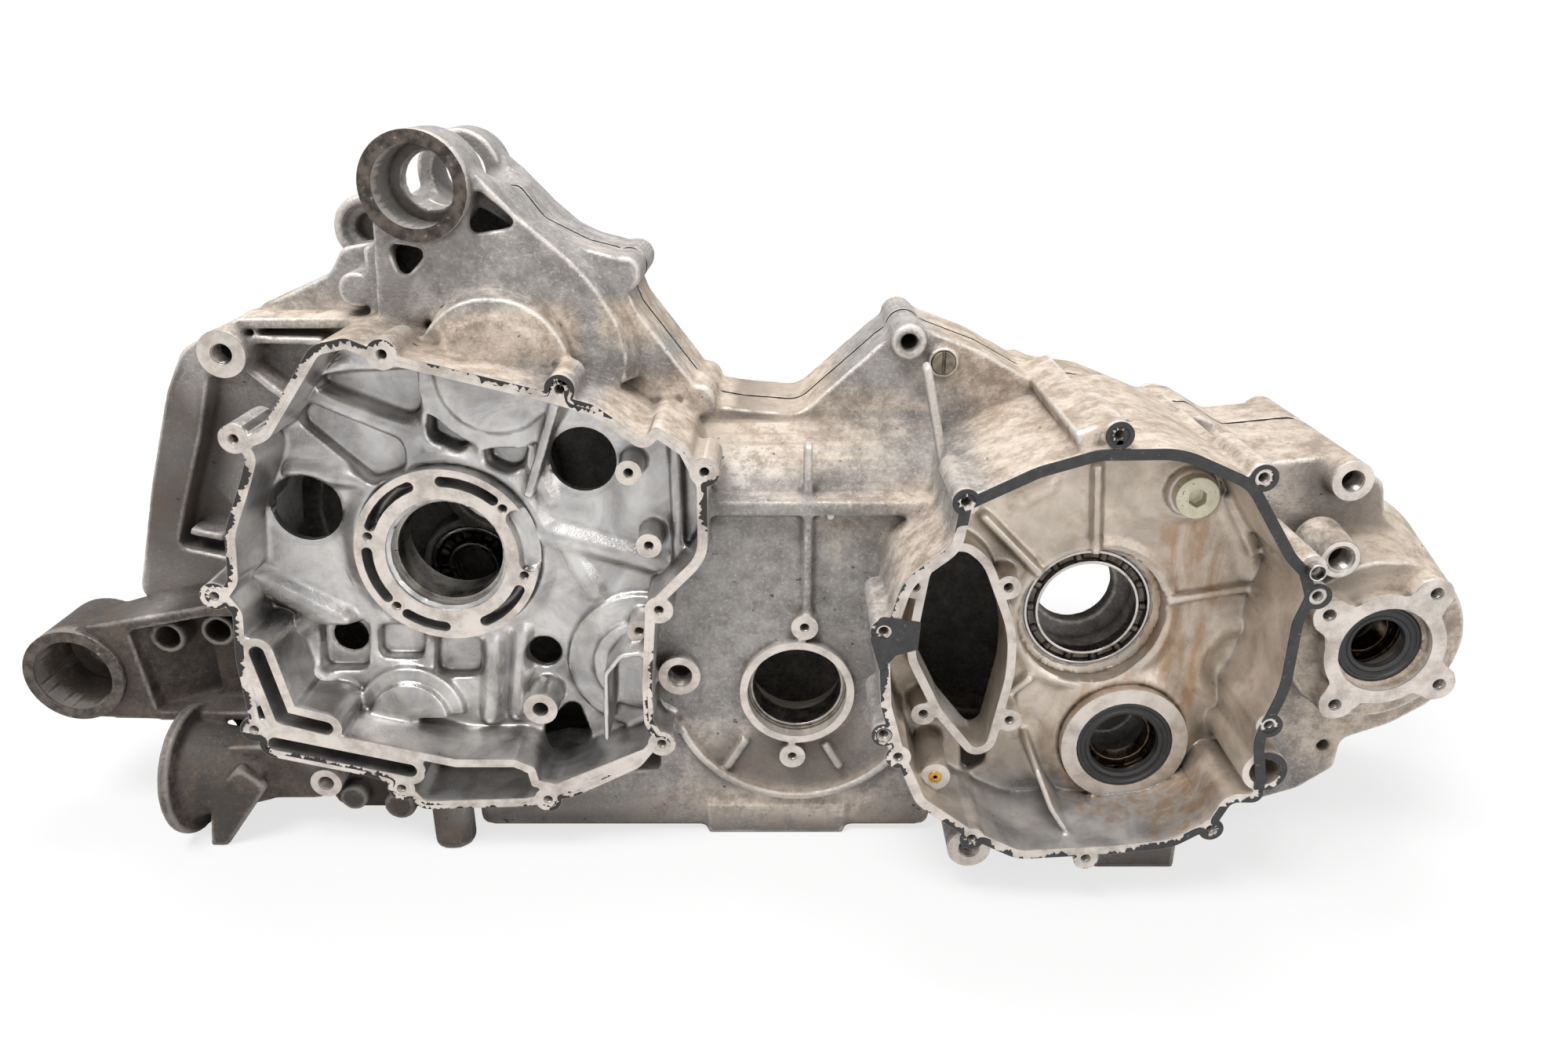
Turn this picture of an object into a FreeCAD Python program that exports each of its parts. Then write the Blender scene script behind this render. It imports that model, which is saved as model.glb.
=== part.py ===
import FreeCAD, Part
import math
import os

# Engine crankcase with built-in gearbox, split on an upright plane into a front and a rear casting.
# Millimetres. X runs along the case, Y from the cover side to the back, Z up. The crank axis
# crosses the parting plane at the origin, and every depth below is counted from that plane.

# Levels of the front casting, in front of the parting plane
left_rim_depth = 90.0
left_chamber = 34.0
crank_ring_rise = 12.0
right_rim_depth = 132.0
right_chamber = 50.0
lens_rise = 18.0
panel_depth = 68.0
panel_ring_rise = 7.0
tower_depth = 45.0
block_depth = 30.0
right_body_depth = 62.0
hub_depth = 100.0
mount_boss_depth = 75.0
gallery_depth = 24.0

# Levels of the rear casting, behind the parting plane
rear_block_depth = 34.0
rear_left_rim_depth = 90.0
rear_left_chamber = 20.0
rear_right_rim_depth = 104.0
rear_right_chamber = 44.0

# Walls and films
wall = 5.0
web = 6.0
skin = 7.0
rib = 4.5
sealant = 0.3
gasket = 0.8
floor_z = -169.0

# Screw sizes: tapping hole radius, boss radius and hole depth
m6_hole = 2.6
m6_boss = 6.2
left_boss = 7.2
m6_depth = 18.0
m8_hole = 3.4
m8_boss = 9.0
m8_clear = 4.2

# Clearance between a bearing's balls and its grooves
ball_gap = 0.15

# Crank bearing and the slotted ring around it
crank_bore = 27.0
shell_wall = 2.0
shell_width = 22.0
shell_split = 0.4
crank_ring_radius = 46.8
crank_boss_length = 34.0
ring_slot_radius = 40.3
ring_slot_width = 5.6

# Balancer bearing in the rear web, 25 x 52 x 15
balancer = (-21.0, -56.0)
balancer_bore = 12.5
balancer_outer = 26.0
balancer_width = 15.0
balancer_balls = 9

# Gearbox input bearing in the right chamber floor, 50 x 65 x 7
input_axis = (328.0, -27.0)
input_bore = 25.0
input_outer = 32.5
input_width = 7.0
input_recess = 37.0
input_recess_depth = 9.0
input_balls = 14
far_ring_radius = 21.0

# Countershaft seal 35 x 50 x 8 and its bearing behind it
counter_axis = (350.0, -97.5)
counter_boss_radius = 33.0
counter_boss_rise = 9.0
counter_seal_bore = 17.5
counter_seal_outer = 25.0
counter_seal_width = 8.0
counter_bore = 15.0
counter_outer = 23.5
counter_width = 9.0

# Output hub: four screws around a seal 26 x 42 x 8
hub_axis = (470.0, -37.0)
hub_radius = 44.0
hub_ear = 48.5
hub_waist = 32.5
hub_plate = 11.0
hub_root_radius = 58.0
hub_bore = 23.0
hub_pitch_radius = 36.5
hub_turn = 13.0
output_seal_bore = 13.0
output_seal_outer = 21.0
output_seal_width = 8.0
output_bore = 12.5
output_outer = 20.5
output_width = 12.0

# Shift shaft bore in the middle panel
shift_axis = (179.0, -76.0)
shift_bore = 26.3
shift_ring_radius = 30.3
shift_sleeve_wall = 3.0
shift_sleeve_width = 16.0
circlip_wall = 1.6

# Engine mount eyes
top_eye = (0.0, 180.0)
top_eye_radius = 25.4
top_eye_bore = 19.2
top_eye_lip = 14.0
top_eye_front = 54.0
top_eye_length = 38.0
top_lip_length = 8.0
rear_eye_radius = 22.4
rear_eye_start = 27.0
rear_eye_length = 30.0
ring_boss = (-46.0, 153.0)
ring_boss_radius = 17.5
ring_boss_y = 8.0
bar_start = (-106.0, 13.0, 106.5)
bar_end = (-56.0, 13.0, 127.5)
bar_radius = 7.5
left_eye = (-216.5, -77.5)
left_eye_radius = 27.0
left_eye_bore = 21.0
left_eye_front = 54.0
left_eye_length = 45.0
left_eye_step = 36.0
left_eye_throat = 12.0
arm_front = [(-232, -56), (-212, -51), (-141, -38), (-100, -38), (-100, -108), (-137, -109),
             (-173, -109), (-214, -107)]
arm_root = [(-226, -60), (-208, -54), (-153, -38), (-110, -20), (-110, -110), (-137, -110),
            (-173, -110), (-212, -104)]
arm_recess = [(-184, -53), (-141, -44.5), (-92, -44.5), (-92, -103), (-137, -103.5), (-178, -103)]
arm_floor = [(-192, -60), (-90, -60), (-90, -16), (-144, -18), (-184, -44)]
arm_bosses = [(-168.0, -60.5), (-139.5, -56.5)]
arm_boss_radius = 9.6
arm_boss_hole = 6.6
arm_boss_y = -42.0

# Outlines: corners as (x, z, corner radius). This one is the joint between the two castings.
joint_outline = [
    (-30, 150, 8), (-22, 166, 4), (18, 176, 6), (38, 176, 5), (50, 160, 8), (72, 149, 8),
    (88, 145, 5), (98, 118, 8), (126, 80, 8), (130, 70, 6), (150, 66.5, 10), (180, 64, 14),
    (221, 101, 12), (236, 111, 8), (273, 97, 10), (300, 82, 12), (336, 77, 12), (373, 62, 10),
    (390, 63, 6), (412, 50, 8), (450, 54, 12), (476, 38, 8), (480, 22, 10), (504, -3, 20),
    (540, -34, 24), (546, -72, 30), (522, -112, 20), (494, -128, 8), (492, -146, 10),
    (458, -165, 12), (-92, -165, 14), (-122, -148, 8), (-150, -120, 10), (-150, -52, 8),
    (-180, -45, 5), (-184, -36, 5), (-165, 26, 20), (-147, 76, 14), (-135, 98, 10),
    (-105, 113.5, 10), (-62, 133, 8), (-54, 146, 5),
]
left_outline = [
    (-73, 73, 6), (-43, 114, 12), (-27, 117.5, 8), (-12, 111, 8), (62, 92.5, 10),
    (84, 86, 10), (106, 69.5, 2), (112, 76, 3), (127, 65, 6), (135.5, 47, 12), (135, 8, 24),
    (108, -20, 8), (104.5, -64, 8), (104.5, -84, 6), (110, -94, 6), (96, -112, 14),
    (62, -129.5, 10), (35, -136.5, 4), (-22, -138.5, 8), (-34, -123, 6), (-55, -115, 20),
    (-97, -105.5, 8), (-105, -88, 8), (-106, -48, 20), (-103, -22, 6), (-109, -12, 4),
    (-102, -3, 6), (-99, 22, 30), (-86, 50, 10), (-82, 60, 4), (-86, 68, 4),
]
right_outline = [
    (250, 54, 6), (282, 70, 30), (308, 78, 24), (345, 78.5, 40), (378, 64, 24), (401, 29, 20),
    (409, 21, 5), (414, 8, 5), (410, -6, 8), (410, -40, 50), (402, -68, 20), (406, -88, 8), (407, -104, 5), (392, -104, 5),
    (386, -118, 10), (366, -131, 24), (334, -135, 20), (289, -138, 20), (262, -124, 14),
    (237, -105, 16), (225, -76, 12), (218, -50, 16), (216, -20, 16), (226, 16, 24), (247, 33, 12),
]
panel_outline = [
    (104, 33, 3), (252, 33, 3), (252, -10, 10), (236, -60, 10), (262, -120, 10), (252, -165, 6),
    (2, -165, 6), (2, -134, 4), (104, -128, 3),
]
right_body_outline = [
    (392, 60, 6), (412, 48, 6), (448, 52, 10), (474, 38, 8), (478, 20, 8), (502, -4, 14),
    (522, -30, 20), (527, -88, 12), (505, -103, 14), (480, -113, 6), (479, -131, 6),
    (461, -145, 8), (436, -154, 10), (392, -160, 6),
]

# Left block: its face is sunk between a border wall, a top band and the chamber's rim wall
block_recess = [
    (-106, 108.5, 3), (-38, 108.5, 2), (-38, 80, 2), (-92, 20, 2), (-98, -18, 2),
    (-128, -18, 3), (-158, -11, 4), (-148, 16, 20), (-134, 51, 20), (-124, 82, 10), (-118, 96, 6),
]
block_recess_y = -14.0
block_top = [(-112, 114.5), (-36, 114.5), (-36, 160), (-62, 160), (-112, 130)]
block_top_end = -9.0
block_boss = (-110.8, 97.5)
block_boss_radius = 12.2
block_boss_hole = 5.6
block_boss_y = -38.0
block_ribs = [((-98, 103), (-62, 102)), ((-103, 88), (-84, 70)), ((-150, -2), (-132, -6))]
block_pads = [(-95.6, -17.0), (-54.0, -17.0)]
block_pad_radius = 8.5
block_pad_top = 115.6

# Tower at its front face and at its root, corner for corner, for the tapered flank
tower_front = [
    (-23, 172), (19, 192), (29, 183), (46, 165), (70, 144), (81, 131), (90, 115), (94, 98),
    (92, 84), (-30, 84), (-27, 120),
]
tower_root = [
    (-28, 168), (30, 178), (40, 174), (52, 159), (78, 146), (92, 134), (100, 114), (110, 96),
    (112, 84), (-36, 84), (-33, 120),
]
tower_pockets = [
    [(21, 157, 3), (25, 180, 3), (47, 161, 3)],
    [(-18, 153, 2), (2, 150, 3), (-13, 135, 3)],
]
dome_axis = (31.0, 97.0)
dome_steps = [(36.0, 5.0), (31.0, 8.5), (21.0, 11.0)]

# Screw places on the two cover faces
left_screws = [
    (-11.4, 109.6), (68.5, 93.1), (134.4, 52.9), (109.8, -19.8), (108.2, -97.4), (46, -132.2),
    (-31.6, -125.2), (-103.8, -88.8), (-110.3, -12.1), (-86.2, 69.3),
]
right_screws = [
    (252.3, 53.7), (316.4, 84.3), (381.4, 65), (414.7, 8), (403.4, -60), (384.1, -119.9),
    (323.6, -137.5), (265.7, -125.5), (218.1, -10), (227.2, -77.8),
]
right_dowels = [(410.5, 21.6), (220, -65.5)]
right_port = (405.5, -86.0)
drain_place = (266.5, -139.0)
drain_rise = 122.0

# Left chamber floor: openings, dished pockets, and screw posts as (x, z, boss, hole, height)
window = (-72.8, 21.9, 18.3)
round_hole = (70.7, 47.8, 17.0)
drain_slot_hole = (-64.0, -56.0, 9.0)
pin_hole = (42.8, -61.5, 8.8)
oil_window = [
    (39.6, -107, 4), (53.7, -93, 4), (59, -94, 3), (64.5, -112.7, 4), (61, -128, 4),
    (48.6, -128, 3), (37.4, -124, 4),
]
pockets = [
    [(-56, 92, 6), (-2.4, 94.6, 5), (-10, 67, 8), (-56, 86, 5)],
    [(-70.6, 68, 7), (-64, 79, 6), (-18, 57, 6), (-19, 42, 8), (-37, 36, 4)],
    [(-2, 79, 4), (6, 79, 3), (7, 69, 6), (18, 62, 6), (11, 52, 6), (-5, 60, 6)],
    [(25, 62, 5), (47, 65, 5), (39, 39, 8), (22, 47, 5)],
    [(-45, -46, 4), (-21, -46, 4), (-23, -66, 5), (-47, -66, 5)],
    [(-15, -52, 4), (9, -52, 4), (7, -77, 6), (-18, -77, 5)],
    [(-76, -43, 4), (-50, -43, 4), (-54, -73, 5), (-79, -73, 5)],
]
pocket_depth = 9.0
posts = [
    (96.5, 48.3, 6.4, m6_hole, 22.0), (104.7, 9.9, 6.4, m6_hole, 22.0),
    (97.7, -37.8, 6.4, m6_hole, 22.0), (43.3, -83.8, m8_boss, m8_clear, 22.0),
]
floor_steps = [
    ((31.0, 92.0), [(38.0, 3.0), (29.0, 6.0)]),
    ((96.0, -66.0), [(40.0, 4.0), (26.0, 8.0)]),
]
oil_dome_axis = (-31.5, -98.0)
oil_dome_steps = [(29.0, 5.0), (21.0, 9.0)]
baffle_path = [(103, -44.5), (89, -46.8), (81, -57.2), (79, -95.5)]
shelf_path = [
    (-81, -90), (-1, -109.5), (30, -109.5), (38.5, -114), (40, -122), (51, -125), (101, -102),
]
gallery_path = [(-94.8, -44), (-88, -81.7), (-66.5, -88)]
gallery_slot = 8.0
sump_slot_path = [(-94, -97.5), (-26, -114)]
sump_box = [(-18, -113, 3), (35, -113, 3), (33, -131.5, 4), (-20, -131.5, 5)]

# Right chamber floor
lens = [
    (256.5, 18.5, 8), (243, 8, 16), (239, -20, 30), (237, -40, 20), (252, -71, 20),
    (270, -94, 8), (276, -91, 6), (283, -52, 60), (283, -28, 60), (268, 10, 30),
]
lens_wall = 4.3
lens_screws = [(235.7, -2.3), (281, -2.7), (286.8, -77), (242.8, -73.3)]
jet_axis = (247.8, -98.6)
jet_post_radius = 7.5
jet_radius = 3.4
jet_rise = 36.0
plug_axis = (368.0, 42.0)
plug_boss_radius = 12.5
plug_rise = 8.0
plug_radius = 10.5
plug_thread_radius = 7.0
floor_ribs = [
    ((268, 30), (300, -3)), ((322, 56), (326, 8)), ((364, -17), (408, -9)), ((386, 40), (404, 8)),
    ((300, -60), (282, -76)),
]
curved_baffle = [(298, -93.5), (307, -116), (317, -132)]
slot_window = [(266, -100, 4), (279, -96, 4), (280, -114, 3), (268, -122, 4)]

# Middle panel
panel_ribs = [((184, 60), (184, -40)), ((240, 100), (254, 34)), ((152, -106), (141, -124)),
              ((194, -109), (203, -125))]
panel_rail = ((134, 28.6), (251, 28.6))
arc_rib_radius = 66.0
port_axis = (117.3, -65.0)
port_boss = 11.0
port_hole = 6.8
panel_screw_ears = [(182.8, -37.2), (176.6, -115.0)]
top_boss = (234.8, 107.8)
slot_plug_axis = (253.2, 92.0)
slot_plug_radius = 6.0
bead_plug = (195.5, 22.0)
bead_plug_radius = 1.8

# Right body in front of the gearbox
mount_boss = (451.0, 43.0)
mount_boss_radius = 10.2
mount_boss_hole = 5.8
side_port = (451.6, 1.0)
side_port_boss = 9.6
side_port_hole = 6.8
rear_column_length = 48.0

# Small blind holes as (x, z, radius, depth of the face they start in)
small_holes = [(93.6, 137.6, 3.2, -12.0), (128.5, 72.0, 3.4, -30.0), (-2.0, 113.0, 2.6, -47.0),
               (470.5, -117.0, 3.4, -64.0)]
face_bosses = [(93.6, 137.6, 7.4, -12.0), (128.5, 72.0, 8.0, -32.0)]

# Case screws: places on the joint, as seen from the front, and the hexagon heads behind
case_screws = [
    (-122.0, 93.0), (92.0, 136.0), (128.0, 68.0), (235.0, 104.0), (302.0, 74.0), (384.0, 54.0),
    (482.0, -120.0), (60.0, -155.0), (240.0, -155.0), (-138.0, -128.0), (-140.0, -30.0),
    (-42.0, 128.0),
]
screw_shank = 4.0
screw_length = 46.0
screw_head_width = 12.0
screw_head_height = 7.0
screw_flange_radius = 8.5
screw_flange = 2.0

# Feet: the case stands on these. The first is a flange that faces left, on a short neck.
flange_centre = (-161.0, -58.5, -133.0)
flange_radius = 36.0
flange_thickness = 6.5
neck_radii = (27.0, 17.0)
neck_end = -112.0
gusset = [(-145.5, -169), (-136, -169), (-108, -131), (-122, -118), (-140, -136)]
gusset_y = -82.0
gusset_thickness = 6.0
stub = (-79.0, -133.0)
stub_radius = 8.5
stub_hole = 4.4
stub_y = -74.0
drain_post = (-11.0, -156.0)
drain_post_radius = 11.0
drain_post_front = 85.0
pad = (129.0, 206.0)
right_foot = (338.0, 382.0)
right_foot_front = 100.0
rear_feet = [(-60.0, -20.0), (168.0, 224.0), (400.0, 440.0)]
rear_foot_depth = 80.0

left_rim_y = -left_rim_depth
left_floor_y = left_rim_y + left_chamber
crank_ring_y = left_floor_y - crank_ring_rise
right_rim_y = -right_rim_depth
right_floor_y = right_rim_y + right_chamber
lens_y = right_floor_y - lens_rise
panel_y = -panel_depth
panel_ring_y = panel_y - panel_ring_rise
tower_y = -tower_depth
block_y = -block_depth
right_body_y = -right_body_depth
hub_y = -hub_depth
front_joint_y = -sealant / 2
rear_joint_y = sealant / 2


def vec(x, y, z):
    return FreeCAD.Vector(x, y, z)


def rounded_wire(corners, y):
    """Closed wire in the plane Y = y through (x, z, radius) corners, each rounded by an arc."""
    count = len(corners)
    arcs = []
    for i, (x, z, radius) in enumerate(corners):
        here = vec(x, y, z)
        before = vec(corners[i - 1][0], y, corners[i - 1][1]) - here
        after = vec(corners[(i + 1) % count][0], y, corners[(i + 1) % count][1]) - here
        half = before.getAngle(after) / 2
        reach = min(radius / math.tan(half), 0.48 * before.Length, 0.48 * after.Length)
        before.normalize()
        after.normalize()
        middle = before + after
        middle.normalize()
        swing = reach * math.tan(half)
        near = here + middle * (reach / math.cos(half) - swing)
        arcs.append((here + before * reach, near, here + after * reach))
    edges = []
    for i, (start, near, end) in enumerate(arcs):
        edges.append(Part.Arc(start, near, end).toShape())
        edges.append(Part.LineSegment(end, arcs[(i + 1) % count][0]).toShape())
    return Part.Wire(edges)


def slab(corners, y0, y1):
    """Plate of a rounded outline between two depths."""
    return Part.Face(rounded_wire(corners, y0)).extrude(vec(0, y1 - y0, 0))


def offset_slab(corners, grow, y0, y1):
    """Plate of the same outline moved outwards by grow, or inwards where it is negative."""
    wire = rounded_wire(corners, y0).makeOffset2D(grow)
    return Part.Face(wire).extrude(vec(0, y1 - y0, 0))


def drum(x, z, radius, y0, y1):
    """Round post along Y."""
    return Part.makeCylinder(radius, abs(y1 - y0), vec(x, min(y0, y1), z), vec(0, 1, 0))


def tube(x, z, outer, inner, y0, y1):
    return drum(x, z, outer, y0, y1).cut(drum(x, z, inner, y0, y1))


def taper(x, z, radius0, radius1, y0, y1):
    """Cone along Y from radius0 at y0 to radius1 at y1, where y1 is behind y0."""
    return Part.makeCone(radius0, radius1, y1 - y0, vec(x, y0, z), vec(0, 1, 0))


def bar(start, end, thickness, y0, y1):
    """Straight rib between two points of the XZ plane."""
    path = vec(end[0] - start[0], 0, end[1] - start[1])
    side = vec(-path.z, 0, path.x)
    side.normalize()
    side = side * (thickness / 2)
    foot = vec(start[0], y0, start[1])
    corners = [foot - side, foot + side, foot + side + path, foot - side + path]
    return Part.Face(Part.makePolygon(corners + corners[:1])).extrude(vec(0, y1 - y0, 0))


def path_wall(points, thickness, y0, y1):
    """Wall of even thickness along a path, with round ends and corners."""
    pieces = [drum(x, z, thickness / 2, y0, y1) for x, z in points]
    for start, end in zip(points, points[1:]):
        pieces.append(bar(start, end, thickness, y0, y1))
    return fused(pieces)


def box(x0, x1, y0, y1, z0, z1):
    return Part.makeBox(x1 - x0, y1 - y0, z1 - z0, vec(x0, y0, z0))


def turned(axis, radius, angle):
    """Point at an angle, in degrees from +X towards +Z, on a circle in the XZ plane."""
    a = math.radians(angle)
    return (axis[0] + radius * math.cos(a), axis[1] + radius * math.sin(a))


def arc_slot(axis, radius, angle0, angle1, width, y0, y1):
    """Curved slot with round ends between two angles."""
    inner = radius - width / 2
    outer = radius + width / 2
    middle = (angle0 + angle1) / 2
    cap = math.degrees(width / 2 / radius)

    def at(r, angle):
        x, z = turned(axis, r, angle)
        return vec(x, y0, z)

    edges = [
        Part.Arc(at(outer, angle0), at(outer, middle), at(outer, angle1)).toShape(),
        Part.Arc(at(outer, angle1), at(radius, angle1 + cap), at(inner, angle1)).toShape(),
        Part.Arc(at(inner, angle1), at(inner, middle), at(inner, angle0)).toShape(),
        Part.Arc(at(inner, angle0), at(radius, angle0 - cap), at(outer, angle0)).toShape(),
    ]
    return Part.Face(Part.Wire(edges)).extrude(vec(0, y1 - y0, 0))


def polygon_wire(points, y):
    corners = [vec(x, y, z) for x, z in points]
    return Part.makePolygon(corners + corners[:1])


def tapered(points0, y0, points1, y1):
    """Solid between two outlines of as many corners, with flat three-sided faces between them."""
    count = len(points0)
    front = [vec(x, y0, z) for x, z in points0]
    back = [vec(x, y1, z) for x, z in points1]
    faces = [Part.Face(Part.makePolygon(front + front[:1])),
             Part.Face(Part.makePolygon(back + back[:1]))]
    for i in range(count):
        j = (i + 1) % count
        faces.append(Part.Face(Part.makePolygon([front[i], front[j], back[j], front[i]])))
        faces.append(Part.Face(Part.makePolygon([front[i], back[j], back[i], front[i]])))
    solid = Part.Solid(Part.makeShell(faces))
    if solid.Volume < 0:
        solid.reverse()
    return solid


def fused(shapes):
    """One solid from many that touch or overlap."""
    return shapes[0].multiFuse(shapes[1:])


def left_chamber_shell():
    """Rim wall of the left chamber with its screw bosses, down to the joint."""
    solids = [slab(left_outline, left_rim_y, 0)]
    for x, z in left_screws:
        solids.append(drum(x, z, left_boss, left_rim_y, left_floor_y))
    return solids


def left_chamber_floor():
    """Everything that stands up from the left chamber's floor."""
    solids = [drum(0, 0, crank_ring_radius, crank_ring_y, crank_ring_y + crank_boss_length)]
    for axis, steps in floor_steps:
        for radius, rise in steps:
            solids.append(drum(axis[0], axis[1], radius, left_floor_y - rise, left_floor_y + web))
    half = box(oil_dome_axis[0] - 40, oil_dome_axis[0] + 40, left_rim_y, 0,
               oil_dome_axis[1], oil_dome_axis[1] + 40)
    for radius, rise in oil_dome_steps:
        step = drum(oil_dome_axis[0], oil_dome_axis[1], radius, left_floor_y - rise,
                    left_floor_y + web)
        solids.append(step.common(half))
    for x, z, boss, hole, height in posts:
        solids.append(drum(x, z, boss, left_floor_y - height, left_floor_y + web))
    solids.append(bar((61, 80), (43, 30), wall, left_floor_y - pocket_depth, left_floor_y + web))
    return solids


def left_chamber_walls():
    """Thin walls that reach the cover face: gallery, sump shelf and oil baffle."""
    solids = [
        path_wall(gallery_path, gallery_slot + 2 * rib, left_rim_y, left_floor_y + web),
        path_wall(shelf_path, rib, left_rim_y, left_floor_y + web),
        path_wall(baffle_path, rib - 1.5, left_rim_y + 1, left_floor_y + web),
        path_wall(sump_slot_path, gallery_slot + 2 * rib, left_rim_y, left_floor_y + web),
    ]
    return solids


def ring_slots():
    """Oil slots and screw holes in the flat ring around the crank bore."""
    y0 = crank_ring_y
    y1 = crank_ring_y + crank_ring_rise
    cuts = []
    for angle0, angle1 in [(112, 156), (49, 88), (-66, -28), (-126, -97), (-183, -145)]:
        cuts.append(arc_slot((0, 0), ring_slot_radius, angle0, angle1, ring_slot_width, y0, y1))
    for angle in [39.8, -15.7, -135.8, 164.6]:
        x, z = turned((0, 0), ring_slot_radius, angle)
        cuts.append(drum(x, z, m6_hole, y0, y0 + m6_depth))
    cuts.append(arc_slot((0, 0), ring_slot_radius + 2, -5, 28, ring_slot_width + 5, y0, y0 + 7))
    return cuts


def left_block():
    """Joint flange of the front casting, with the sunk face and the low top edge at its left."""
    block = slab(joint_outline, block_y, 0)
    block = block.cut([slab(block_recess, block_y, block_recess_y),
                       Part.Face(polygon_wire(block_top, block_y)).extrude(
                           vec(0, block_top_end - block_y, 0))])
    return block


def block_details():
    """Boss, ribs and spot-faced pads on the left block."""
    x, z = block_boss
    solids = [drum(x, z, block_boss_radius, block_boss_y, block_recess_y + 2)]
    for start, end in block_ribs:
        solids.append(bar(start, end, rib, block_y, block_recess_y + 2))
    for x, y in block_pads:
        solids.append(Part.makeCylinder(block_pad_radius, 8, vec(x, y, block_pad_top - 8)))
    return solids


def hub_flange():
    """Output hub's plate: four ears with a waist between each two, on a round root."""
    corners = []
    for n in range(4):
        corners.append(turned(hub_axis, hub_ear, 90 * n + 45 + hub_turn) + (8.5,))
        corners.append(turned(hub_axis, hub_waist, 90 * n + 90 + hub_turn) + (30,))
    plate = slab(corners, hub_y, hub_y + hub_plate)
    root = drum(hub_axis[0], hub_axis[1], hub_waist, hub_y + hub_plate, -60)
    return fused([plate, root])


def front_cavities():
    """Crank and gear space between the outer skin and the chamber floors."""
    end = 1.0
    room = offset_slab(joint_outline, -skin, block_y + web, end)
    left = offset_slab(block_recess, web, block_y, block_recess_y + web)
    top = Part.Face(polygon_wire([(x, z - web) for x, z in block_top], block_y))
    room = room.cut([left, top.extrude(vec(0, block_top_end + web - block_y, 0))])
    rooms = [
        room,
        offset_slab(left_outline, -wall - 1, left_floor_y + web, end),
        offset_slab(right_outline, -wall - 1, right_floor_y + web, end),
        offset_slab(panel_outline, -wall, panel_y + web, end).cut(
            slab(left_outline, panel_y, left_floor_y + web)),
        offset_slab(right_body_outline, -wall - 1, right_body_y + web, end),
    ]
    tower = [slab([(-20, 150, 6), (14, 172, 6), (28, 166, 6), (62, 142, 8), (80, 124, 8),
                   (86, 84, 6), (-24, 84, 6)], tower_y + web, end)]
    return rooms + tower


def front_ribs():
    """Walls left standing inside the front casting, and the seats of its bearings."""
    y_end = -6.0
    solids = [
        bar((118, 62), (118, -160), web, panel_y + web, y_end),
        drum(input_axis[0], input_axis[1], input_recess + wall, right_floor_y, right_floor_y + 46),
        drum(counter_axis[0], counter_axis[1], counter_outer + wall, right_floor_y, -40),
        tube(shift_axis[0], shift_axis[1], shift_bore + wall, shift_bore - 2, panel_y, -38),
        drum(balancer[0], balancer[1], 18, left_floor_y + web, -30),
        drum(mount_boss[0], mount_boss[1], mount_boss_radius, -mount_boss_depth, front_joint_y),
        drum(side_port[0], side_port[1], side_port_boss, -mount_boss_depth, -40),
    ]
    for x, z in case_screws:
        solids.append(drum(x, z, m8_boss, block_y, front_joint_y))
    for x, z, radius, y in face_bosses:
        solids.append(drum(x, z, radius, y, front_joint_y))
    return solids


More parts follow.
